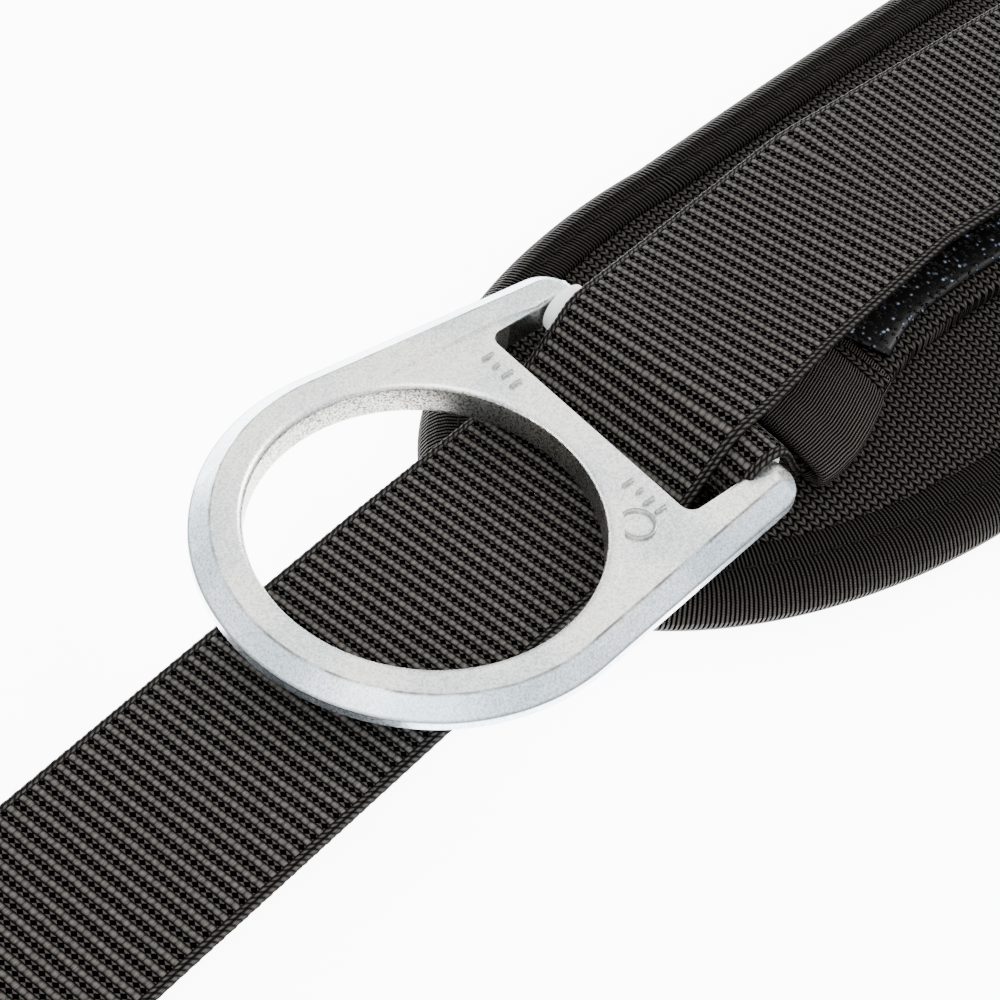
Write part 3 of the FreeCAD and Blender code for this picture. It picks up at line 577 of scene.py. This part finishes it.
def hold_route(hand):
    low_z = PAD_TOP + 1.1
    high_z = low_z + 1.9
    rise = BAR_Z + HOLD_R / 2 - high_z - 2.0
    foot_x = BAR_X + (HOLD_R + 4.0) * math.sin(math.radians(60)) + rise / math.tan(math.radians(60))
    path = [(227.0, high_z), (150.0, high_z), (110.0, high_z), (90.0, high_z), (76.0, high_z)]
    path += bend(foot_x, high_z + 4.0, 4.0, -90, -150, 6)
    path += bend(BAR_X, BAR_Z, HOLD_R, 30, 270, 24)
    path += [(66.0, BAR_Z - HOLD_R - 0.3), (74.0, low_z + 0.2), (84.0, low_z), (110.0, low_z),
             (150.0, low_z), (227.0, low_z)]
    return [(hand * (EYE_X - x), RING_Y + hold_lateral(x) - 1.9 * (1 - ease((x - 64.0) / 16.0)), z)
            for x, z in path]


for hand, side in ((-1, "left"), (1, "right")):
    hold = woven_strap("ring_hold_strap_" + side, hold_route(hand), WEB_WIDTH, HOLD_THICK,
                       WEBBING, rounds=6)
    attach(hold, "belt")
    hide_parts("ring_loop_webbing_" + side)


# ======================================================================================
# Pads: foam between a braided spacer cover and a mesh lining.  Each core is a smaller
# slab that swells by cloth simulation, held along its bound edge, where the tape squeezes it.
# ======================================================================================
def braided_cover():
    """Columns of chained loops across the belt, warm black, with painted shade: black between the
    loops and pale crowns.
    """
    made, tree, surface = new_material("braided_spacer_cover", roughness=0.6)
    place = add(tree, "ShaderNodeTexCoord").outputs["Object"]
    axes = add(tree, "ShaderNodeSeparateXYZ", {0: place})

    math_of = sums(tree)
    # one chain every 2.05 mm, one loop every 1.55 mm of it
    column = math_of("SUBTRACT", math_of("FRACT", math_of("MULTIPLY", axes.outputs[0],
                                                          1000 / 2.05)), 0.5)
    off = math_of("ABSOLUTE", column)
    chain = math_of("MULTIPLY_ADD", axes.outputs[1], 1000 / 1.55, math_of(
        "MULTIPLY", off, -1.5))
    loops = math_of("POWER", math_of("ABSOLUTE", math_of("SINE", math_of(
        "MULTIPLY", chain, math.pi))), 0.7)
    crown = math_of("POWER", math_of("MAXIMUM", math_of("SUBTRACT", 1.0, math_of(
        "POWER", math_of("MULTIPLY", off, 2.0), 2.2)), 0.0), 0.6)
    split = remap(tree, off, 0.0, 0.10, 0.45, 1.0)
    height = math_of("MULTIPLY", math_of("MULTIPLY", loops, crown), split)
    thread = noise(tree, place, 4500.0, 2.0)
    # painted shade and light by height: black between the loops, pale on the crowns
    painted_shade_by_height = ramp(tree, height, "#000000", 0.3, "#3b3835", 0.97)
    tree.links.new(painted_shade_by_height.outputs[0], surface.inputs["Base Color"])
    sheen_on_crowns(tree, surface, height, 0.07)
    relief = math_of("MULTIPLY_ADD", thread, 0.15, height)
    emboss(tree, surface, relief, 1.0, 0.0006)
    return made


def mesh_lining():
    """Open black mesh with small round holes, against the wearer."""
    made, tree, surface = new_material("open_mesh_lining", roughness=0.8,
                                       specular_ior_level=0.1)
    place = add(tree, "ShaderNodeTexCoord").outputs["Object"]
    # holes 2.6 mm apart
    cells = add(tree, "ShaderNodeTexVoronoi", {"Vector": place, "Scale": 385.0,
                                               "Randomness": 0.15}, voronoi_dimensions="3D")
    rim = remap(tree, cells.outputs["Distance"], 0.25, 0.42)
    tree.links.new(blend(tree, rim, linear("#000000"), linear("#1f1e1d")),
                   surface.inputs["Base Color"])
    emboss(tree, surface, rim, 0.8, 0.0005)
    return made


def ribbed_tape(name, cord_mm, light, shine):
    """Grosgrain: fine cords across the tape, slightly shiny, with painted shade: black between the
    cords and lighter on their crowns.
    """
    made, tree, surface = new_material(name, roughness=0.5)
    where = add(tree, "ShaderNodeUVMap", uv_map="cloth").outputs[0]
    axes = add(tree, "ShaderNodeSeparateXYZ", {0: where})
    wander = noise(tree, where, 60.0, 1.0)

    math_of = sums(tree)
    along = math_of("MULTIPLY_ADD", wander, 0.8, math_of(
        "MULTIPLY", axes.outputs[0], 1000 / cord_mm))
    cords = math_of("POWER", math_of("ABSOLUTE", math_of("SINE", math_of(
        "MULTIPLY", along, math.pi))), 1.1)
    turns = math_of("POWER", math_of("ABSOLUTE", math_of("SINE", math_of(
        "MULTIPLY_ADD", axes.outputs[1], math.pi * 1000 / 0.55, math_of(
            "MULTIPLY", math_of("FLOOR", along), math.pi / 2)))), 0.5)
    height = math_of("MULTIPLY", cords, math_of("MULTIPLY_ADD", turns, 0.35, 0.65))
    # painted shade and light by height: black between the cords, lighter on their crowns
    painted_shade_by_height = ramp(tree, height, "#000000", 0.42, light, 1.0)
    tree.links.new(painted_shade_by_height.outputs[0], surface.inputs["Base Color"])
    sheen_on_crowns(tree, surface, height, shine)
    emboss(tree, surface, height, 1.0, 0.0005)
    return made


def sewing_thread(name, colour):
    """Bonded polyester thread, slightly shiny, twisted every half millimetre."""
    made, tree, surface = new_material(name, roughness=0.5, specular_ior_level=0.05)
    place = add(tree, "ShaderNodeTexCoord").outputs["Object"]
    ply = add(tree, "ShaderNodeTexWave", {"Vector": place, "Scale": 900.0, "Distortion": 1.0},
              bands_direction="DIAGONAL")
    tree.links.new(blend(tree, ply.outputs["Fac"], linear("#040404"), linear(colour)),
                   surface.inputs["Base Color"])
    return made


COVER = braided_cover()
LINING = mesh_lining()
TAPE = ribbed_tape("grosgrain_tape", 0.9, "#25221f", 0.07)
THREAD = sewing_thread("black_thread", "#141312")


def pad_loop(shape, inset, step):
    """The pad's outline moved in by inset, as even steps anticlockwise."""
    cx, cy, half_long, end_half, mid_half, end_long, bow = shape
    xe = half_long - end_long
    a, b = end_long - inset, end_half - inset
    rise = mid_half - end_half
    radius = (xe * xe + rise * rise) / (2 * rise)
    spread = math.asin(xe / radius)
    dense = []
    for turn in (0, 1):
        sign = -1 if turn else 1
        for i in range(180):
            t = math.radians(-90 + i)
            dense.append((sign * (xe + a * math.cos(t)), sign * b * math.sin(t)))
        for i in range(240):
            t = spread - 2 * spread * i / 240
            dense.append((sign * radius * math.sin(t),
                          sign * (b + rise - radius * (1 - math.cos(t)))))
    dense.append(dense[0])
    route = [Vector((x + cx, y + cy + bow * (x / half_long) ** 4)) for x, y in dense]
    runs = lengths_along(route)
    count = round(runs[-1] / step)
    return points_along(route, runs, [runs[-1] * i / count for i in range(count)])


def swollen_core(name, shape, top):
    """A slab inside the tape, blown up as cloth and held at its edge."""
    edge = pad_loop(shape, 4.0, 6.0)
    bm = bmesh.new()
    bmesh.ops.create_circle(bm, segments=len(edge), radius=1.0, cap_ends=True)
    bm.verts.ensure_lookup_table()
    for v in bm.verts:
        turn = math.atan2(v.co.y, v.co.x)
        p = edge[round(turn / math.tau * len(edge)) % len(edge)]
        v.co = Vector((p.x, p.y, 1.6)) * MM
    made = bmesh.ops.extrude_face_region(bm, geom=bm.faces[:])
    lifted = [g for g in made["geom"] if isinstance(g, bmesh.types.BMVert)]
    bmesh.ops.translate(bm, verts=lifted, vec=(0, 0, (top - 3.0) * MM))
    bmesh.ops.triangulate(bm, faces=[f for f in bm.faces if len(f.verts) > 4])
    core = link_mesh(name, bm, COVER)
    core.data.materials.append(LINING)
    remesh = core.modifiers.new("even", "REMESH")
    remesh.mode = "VOXEL"
    remesh.voxel_size = 0.005
    rest = applied(core)
    held = pad_loop(shape, 4.0, 2.0)
    near = KDTree(len(held))
    for i, p in enumerate(held):
        near.insert((p.x * MM, p.y * MM, 0.0), i)
    near.balance()
    inside = [near.find((v.co.x, v.co.y, 0.0))[2] for v in core.data.vertices]
    group = core.vertex_groups.new(name="edge")
    group.add([i for i, d in enumerate(inside) if d < 6.0 * MM], 1.0, "REPLACE")
    cloth = core.modifiers.new("swell", "CLOTH")
    cloth.settings.quality = 5
    cloth.settings.mass = 0.3
    cloth.settings.use_pressure = True
    cloth.settings.uniform_pressure_force = 4.0
    cloth.settings.vertex_group_mass = "edge"
    cloth.settings.effector_weights.gravity = 0.0
    cloth.collision_settings.use_self_collision = False
    for count in range(1, 21):
        bpy.context.scene.frame_set(count)
    applied(core)
    cap = 1.3 * MM
    for v, start, depth in zip(core.data.vertices, rest, inside):
        move = v.co - start
        if move.length > cap:
            move *= cap / move.length
        low = start.z < top / 2 * MM
        settle = Vector((0, 0, -0.9 if low else 0.9)) * MM * ease(depth / MM / 14.0)
        v.co = start + move + settle
        v.co.z = max(0.1 * MM, min(v.co.z, (top + 0.35) * MM))
    core.vertex_groups.clear()
    finer = core.modifiers.new("finer", "SUBSURF")
    finer.levels = finer.render_levels = 1
    applied(core)
    for face in core.data.polygons:
        face.use_smooth = True
        face.material_index = 1 if face.normal.z < -0.5 else 0
    return core


def applied(made):
    """Modifiers written into the mesh; gives back the points as they were then."""
    bpy.context.view_layer.update()
    graph = bpy.context.evaluated_depsgraph_get()
    mesh = bpy.data.meshes.new_from_object(made.evaluated_get(graph))
    made.modifiers.clear()
    made.data = mesh
    return [v.co.copy() for v in mesh.vertices]


def ring_sweep(name, loop, section, material):
    """A closed section (inset, height) carried round a closed outline; seam and all merged."""
    count, around = len(loop), len(section)
    bm = bmesh.new()
    bmesh.ops.create_grid(bm, x_segments=around, y_segments=count, size=1.0)
    cloth = bm.loops.layers.uv.new("cloth")
    runs = lengths_along(loop + loop[:1])
    widths = lengths_along([Vector(p) for p in section + section[:1]])
    place = {v: (round((v.co.x + 1) / 2 * around), round((v.co.y + 1) / 2 * count))
             for v in bm.verts}
    for face in bm.faces:
        for loop_corner in face.loops:
            ix, iy = place[loop_corner.vert]
            loop_corner[cloth].uv = (runs[iy] * MM, widths[ix] * MM)
    for v, (ix, iy) in place.items():
        here = loop[iy % count]
        run = (loop[(iy + 1) % count] - loop[(iy - 1) % count]).normalized()
        inward = Vector((-run.y, run.x))
        inset, z = section[ix % around]
        flat = here + inward * inset
        v.co = Vector((flat.x, flat.y, z)) * MM
    bmesh.ops.remove_doubles(bm, verts=bm.verts, dist=1e-7)
    return link_mesh(name, bm, material)


def stitch_row(bm, points, up, length=3.0, gap=1.3, radius=0.26):
    """Short proud stitches along a line of points (mm)."""
    runs = lengths_along(points)
    stops = []
    while sum(stops[-1:]) + gap + length < runs[-1]:
        start = sum(stops[-1:]) + gap
        stops += [start, start + length]
    ends = points_along(points, runs, stops)
    for first, last in zip(ends[::2], ends[1::2]):
        run = last - first
        middle = (first + last) / 2 + up * radius * 0.35
        spin = run.to_track_quat("Z", "Y").to_matrix().to_4x4()
        bmesh.ops.create_icosphere(bm, subdivisions=1, radius=1.0, matrix=Matrix.Translation(
            middle * MM) @ spin @ Matrix.Diagonal((radius * MM, radius * MM, length / 2 * MM, 1)))


def make_pad(label, node, side, shape, top, body):
    core = swollen_core(label + "_core", shape, top)
    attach(core, body)
    ends = [node % name for name in ("foam", "cover", "lining")]
    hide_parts(*[name + side for name in ends])
    section = [(12.4, top - 1.0), (12.1, top + 0.25), (11.2, top + 0.5), (9.5, top + 0.5),
               (8.2, top + 0.3), (7.4, top + 0.02), (6.6, top + 0.1), (5.0, top + 0.05),
               (3.2, top - 0.7), (1.6, top - 2.2), (0.5, top - 4.2), (0.05, top - 6.0),
               (0.6, top - 8.0 if top > 11 else 2.3), (2.2, 1.3), (4.5, 0.35), (8.0, 0.05),
               (11.6, 0.1), (12.3, 1.0), (9.0, 3.0), (9.0, top - 3.0)]
    binding = ring_sweep(label + "_edge_tape", pad_loop(shape, 0.0, 2.0), section, TAPE)
    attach(binding, body)
    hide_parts(node % "binding" + side)
    bm = bmesh.new()
    for inset, z, up in ((7.4, top + 0.05, 1.0), (8.0, 0.06, -0.2)):
        line = [Vector((p.x, p.y, z)) for p in pad_loop(shape, inset, 2.0)]
        stitch_row(bm, line + line[:1], Vector((0, 0, up)))
    seam = link_mesh(label + "_edge_stitches", bm, THREAD)
    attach(seam, body)


make_pad("waist_pad", "waist_pad_%s", "", (0, 0, 350.0, 55.5, 68.0, 93.0, 1.6), 12.0, "belt")
for hand, side in ((-1, "_left"), (1, "_right")):
    make_pad("leg_pad" + side, "leg_pad_%s", side,
             (hand * 217.5, -185.0, 127.5, 44.0, 48.0, 60.0, 0.0), 9.6, "leg" + side)

# ======================================================================================
# Tunnel on the pad: a sewn fabric sleeve that the inner webbing runs into, its mouth
# bound in grosgrain, with black hook tape on top and stitches along the tape's edges.
# ======================================================================================
def hook_tape():
    """Dense black nylon hooks, with painted blue-white highlights on the heads of a random few."""
    made, tree, surface = new_material("nylon_hook_tape", roughness=0.4,
                                       specular_ior_level=0.12)
    place = add(tree, "ShaderNodeTexCoord").outputs["Object"]
    # a hook about every 1.3 mm
    hooks = add(tree, "ShaderNodeTexVoronoi", {"Vector": place, "Scale": 760.0,
                                               "Randomness": 0.85})
    head = remap(tree, hooks.outputs["Distance"], 0.16, 0.42, 1.0, 0.0)
    lucky = noise(tree, place, 700.0, 0.0)
    # painted highlight: blue-white painted on the hook heads where this noise is high
    glint = remap(tree, lucky, 0.58, 0.70)
    bright = add(tree, "ShaderNodeMath", {0: head, 1: glint},
                 operation="MULTIPLY")
    tree.links.new(blend(tree, bright.outputs[0], linear("#030303"), linear("#8f9bb0")),
                   surface.inputs["Base Color"])
    emboss(tree, surface, head, 1.0, 0.0009)
    return made


HOOKS = hook_tape()
# the mouth's ribbon: the grosgrain's weave, shinier, its crowns lighter than the pad's tape, partly
# a browner ribbon and partly painted highlight for its satin sheen
SATIN_PAINTED_LIGHTER = ribbed_tape("satin_ribbon", 0.6, "#3e3834", 0.35)
ROOF = PAD_TOP + 2 * HOLD_THICK + 0.8
TUNNEL_FROM, TUNNEL_TO, TUNNEL_HALF = 72.0, 235.0, 28.0


def squared(turn, power_y, power_z):
    """A point on a rounded square of half width one; a low power has tighter corners."""
    y, z = math.cos(turn), math.sin(turn)
    return math.copysign(abs(y) ** power_y, y), math.copysign(abs(z) ** power_z, z)


def pouch_ring(hand, x, half, low, high, power=0.32, count=64):
    """A soft rounded-rectangle ring of points across the belt."""
    ring = []
    for i in range(count):
        y, z = squared(math.tau * i / count, power, power)
        ring.append(Vector((hand * (EYE_X - x), RING_Y + hold_lateral(x) + y * half,
                            z * (high - low) / 2 + (high + low) / 2)))
    return ring


def pouch(name, hand, stops, material, wall=0.9, power=0.32):
    """An open-ended fabric sleeve with a rounded lip: out along its skin and back inside."""
    out, back = [], []
    for x, half, low, high in stops:
        out.append(pouch_ring(hand, x, half, low, high, power))
        back.append(pouch_ring(hand, x, half - wall * 1.4, low + wall * 0.4, high - wall, power))
    lips = [[(a + b) / 2 + (a - c) * 0.12 for a, b, c in zip(out[k], back[k], out[k + step])]
            for k, step in ((0, 1), (-1, -2))]
    rings = [lips[0]] + out + [lips[1]] + back[::-1] + [lips[0]]
    steps = lengths_along([ring[0] for ring in rings])
    girth = lengths_along(out[0] + out[0][:1])
    made = skin_rings(name, rings, steps, girth, material, closed=True)
    layer = made.data.uv_layers["cloth"]
    for item in layer.data:
        item.uv = (item.uv[1], item.uv[0])
    return made


for hand, side in ((-1, "left"), (1, "right")):
    stops = []
    for i in range(34):
        x = TUNNEL_FROM + 3 + (TUNNEL_TO - TUNNEL_FROM - 3) * i / 33
        stops.append((x, TUNNEL_HALF, PAD_TOP + 0.1, ROOF + 1.0))
    sleeve = pouch("tunnel_body_" + side, hand, stops, COVER)
    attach(sleeve, "belt")
    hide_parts("tunnel_sleeve_" + side)
    stops = []
    for i in range(40):
        t = i / 39
        swell = math.sin(math.pi * min(1.0, t * 1.15)) ** 0.5 if t < 0.87 else 0.0
        folds = 0.45 * math.sin(t * 13.0) + 0.22 * math.sin(t * 31.0 + 1.0)
        stops.append((TUNNEL_FROM - 2.0 + 28.0 * t, TUNNEL_HALF + 0.4 + 1.6 * swell,
                      PAD_TOP + 0.08, ROOF + 1.4 + 1.9 * swell + folds))
    mouth = pouch("tunnel_mouth_binding_" + side, hand, stops, SATIN_PAINTED_LIGHTER, 1.3, 0.55)
    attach(mouth, "belt")
    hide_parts("tunnel_ribbon_" + side)

    def tape_line(y, z, start, end):
        count = 60
        line = []
        for i in range(count + 1):
            x = start + (end - start) * i / count
            line.append(Vector((hand * (EYE_X - x), RING_Y + hold_lateral(x) + y, z)))
        return line

    strip = woven_strap("hook_strip_" + side, [tuple(p) for p in tape_line(
        0.0, ROOF + 1.95, TUNNEL_FROM + 20.0, TUNNEL_TO)], 48.0, 1.7, HOOKS, step=1.4,
        rounds=2, rib=0.0, scallop=0.0)
    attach(strip, "belt")
    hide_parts("hook_tape_" + side)
    bm = bmesh.new()
    for y in (-22.6, 22.6):
        stitch_row(bm, tape_line(y, ROOF + 2.85, TUNNEL_FROM + 29.0, TUNNEL_TO - 1.0),
                   Vector((0, 0, 1)), 2.4, 0.9, 0.3)
    for y in (-27.0, 27.0):
        stitch_row(bm, tape_line(y, PAD_TOP + 0.5, TUNNEL_FROM + 6.0, TUNNEL_TO - 1.0),
                   Vector((0, 0, 1)), 2.4, 0.9, 0.26)
    seam = link_mesh("tunnel_stitches_" + side, bm, THREAD)
    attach(seam, "belt")

# ======================================================================================
# Leg straps and risers: the same webbing, folded back round their bars, and the elastic
# keeper on the front strap.
# ======================================================================================
LEG_Y = -185.0
LEG_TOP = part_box("leg_pad_cover_left")[1].z / MM
LEG_BAR_X, LEG_BAR_Z = 52.0, 8.0
LINK_Y, LINK_Z, LINK_REACH = -80.0, 8.0, 14.0
RISER_X = (236.0, 178.0)
RISER_WIDTH, RISER_THICK, RISER_EYE = 25.0, 1.6, 3.1


def leg_route(hand):
    on_pad = LEG_TOP + 1.2
    points = [(-470.0, FLOOR_Z), (-405.0, FLOOR_Z)]
    for i in range(1, 7):
        points.append((-405.0 + 55.0 * i / 6, FLOOR_Z + (on_pad - FLOOR_Z) * ease(i / 6)))
    points += [(-285.0, on_pad), (-130.0, on_pad), (-92.0, on_pad)]
    high = LEG_BAR_Z + 4.4
    for i in range(1, 6):
        points.append((-90.0 + 38.0 * i / 6, on_pad + (high - on_pad) * ease(i / 6)))
    points += bend(-LEG_BAR_X, LEG_BAR_Z, 4.4, 90, -90, 10)
    points += [(-LEG_BAR_X - 14.0, LEG_BAR_Z - 4.4), (-LEG_BAR_X - 32.0, LEG_BAR_Z - 4.4)]
    return [(-hand * x, LEG_Y, z) for x, z in points]


def tab_route(x, eye):
    pad_z = PAD_TOP + 0.9
    path = [(-40.0, pad_z), (-58.0, pad_z), (-64.0, pad_z), (-70.0, pad_z - 0.5)]
    path += bend(LINK_Y, LINK_Z, eye, 90, 270, 10)
    path.append((LINK_Y + 8.0, LINK_Z - eye))
    return [(x, y, z) for y, z in path]


def riser_route(x, eye):
    far = LINK_Y - LINK_REACH
    on_leg = LEG_TOP + 0.9
    path = [(far - 12.0, LINK_Z - eye), (far - 6.0, LINK_Z - eye)]
    path += bend(far, LINK_Z, eye, -90, 90, 10)
    path += [(far - 10.0, LINK_Z + eye), (far - 24.0, on_leg), (-140.0, on_leg), (-160.0, on_leg)]
    return [(x, y, z) for y, z in path]


def joined(name, pieces):
    """Several finished pieces as one object with one mesh."""
    bm = bmesh.new()
    for piece in pieces:
        bm.from_mesh(piece.data)
    mesh = bpy.data.meshes.new(name)
    bm.to_mesh(mesh)
    bm.free()
    mesh.materials.append(pieces[0].data.materials[0])
    for piece in pieces:
        bpy.data.objects.remove(piece)
    made = bpy.data.objects.new(name, mesh)
    bpy.context.scene.collection.objects.link(made)
    return made


for hand, side in ((-1, "left"), (1, "right")):
    leg = woven_strap("leg_strap_" + side, leg_route(hand), WEB_WIDTH, LOAD_THICK, WEBBING,
                      rounds=3)
    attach(leg, "leg_" + side)
    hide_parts("leg_webbing_" + side)
    tabs, rises = [], []
    for x in RISER_X:
        for made, label, route in ((tabs, "tab", tab_route), (rises, "riser", riser_route)):
            made.append(woven_strap(label, route(hand * x, RISER_EYE), RISER_WIDTH, RISER_THICK,
                                    WEBBING, rounds=2, across=(1, 0, 0), rib=0.08, scallop=0.1))
    for pieces, label, node, body in ((tabs, "link_tab_", "riser_tabs_", "belt"),
                                      (rises, "leg_riser_", "riser_straps_", "leg_" + side)):
        made = joined(label + side, pieces)
        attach(made, body)
        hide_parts(node + side)


def box_tack(bm, middle, half_x, half_y, top):
    """A sewn square with its crossing diagonals, on a flat layer of webbing."""
    corners = [Vector((middle[0] + a * half_x, middle[1] + b * half_y, top))
               for a, b in ((-1, -1), (1, -1), (1, 1), (-1, 1))]
    for a, b in ((0, 1), (1, 2), (2, 3), (3, 0), (0, 2), (1, 3)):
        stitch_row(bm, [corners[a], corners[b]], Vector((0, 0, 1)), 2.2, 0.7, 0.24)


for hand, side in ((-1, "left"), (1, "right")):
    for body, places in (
            ("belt", [(hand * x, -50.0, 9.0, 7.0, PAD_TOP + 1.75) for x in RISER_X]
             + [(hand * 45.0, RING_Y + 10.0, 16.0, 17.0, PAD_TOP + 2.35)]),
            ("leg_" + side, [(hand * x, -150.0, 9.0, 7.0, LEG_TOP + 1.75) for x in RISER_X]
             + [(hand * 217.0, LEG_Y, 20.0, 17.0, LEG_TOP + 2.35)])):
        bm = bmesh.new()
        for x, y, wide, deep, top in places:
            box_tack(bm, (x, y), wide, deep, top)
        seam = link_mesh("sewn_boxes_%s_%s" % (body.split("_")[0], side), bm, THREAD)
        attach(seam, body)

low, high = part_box("strap_keeper")
middle_y = (low.y + high.y) / 2 / MM
half_y = (high.y - low.y) / 2 / MM
middle_z = (low.z + high.z) / 2 / MM
half_z = (high.z - low.z) / 2 / MM
rings = []
for inner in (0, 1):
    for i in range(15):
        t = (14 - i if inner else i) / 14
        x = (low.x + (high.x - low.x) * t) / MM
        ring = []
        for k in range(44):
            y, z = squared(math.tau * k / 44, 0.25, 0.35)
            ring.append(Vector((x, middle_y + y * (half_y - 0.9 * inner),
                                middle_z + z * (half_z - 0.9 * inner))))
        rings.append(ring)
rings.append(rings[0])
girth = lengths_along(rings[0] + rings[0][:1])
keeper = skin_rings("elastic_keeper", rings, [p[0].x for p in rings], girth, TAPE, closed=True)
for item in keeper.data.uv_layers["cloth"].data:
    item.uv = (item.uv[1], item.uv[0])
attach(keeper, "keeper")
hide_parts("strap_keeper")

# ======================================================================================
# Hard parts kept as their CAD shapes: black anodised buckle plates, bright steel pins,
# pawls and links, white acetal sleeves on the ring bars, moulded gear loops.
# ======================================================================================
def hard_finish(name, dark, light, metallic, rough, grain_mm, depth):
    """A cast or moulded surface: slightly mottled colour and gloss, fine grain."""
    made, tree, surface = new_material(name, metallic=metallic)
    place = add(tree, "ShaderNodeTexCoord").outputs["Object"]
    cloud = noise(tree, place, 120.0, 3.0)
    tree.links.new(blend(tree, cloud, linear(dark), linear(light)),
                   surface.inputs["Base Color"])
    gloss = remap(tree, cloud, 0.3, 0.7, rough - 0.05, rough + 0.06)
    tree.links.new(gloss, surface.inputs["Roughness"])
    grain = noise(tree, place, 1000.0 / grain_mm, 2.0)
    emboss(tree, surface, grain, 0.5, depth)
    return made


BLACK_METAL = hard_finish("black_anodised_plate", "#17181a", "#26272a", 0.9, 0.38, 0.4, 0.00005)
STEEL = hard_finish("bright_steel", "#b9bdc0", "#d3d5d6", 1.0, 0.26, 0.6, 0.00003)
ACETAL = hard_finish("white_acetal", "#eceeee", "#f8f9f9", 0.0, 0.35, 0.8, 0.00003)
MOULDED = hard_finish("black_moulded_loop", "#101011", "#1d1d1e", 0.0, 0.5, 0.5, 0.00008)
FINISHES = {
    "buckle_base": BLACK_METAL, "buckle_cover": BLACK_METAL, "buckle_tongue": BLACK_METAL,
    "leg_buckle_frame": BLACK_METAL, "buckle_pawl": STEEL, "buckle_pivot": STEEL,
    "buckle_rivets": STEEL, "buckle_springs": STEEL, "leg_slide_bar": STEEL,
    "riser_links": STEEL, "wear_sleeve": ACETAL, "gear_loop": MOULDED,
}
for node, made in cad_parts.items():
    for start, finish in FINISHES.items():
        if node.startswith(start):
            for holder in made.material_slots:
                holder.material = finish
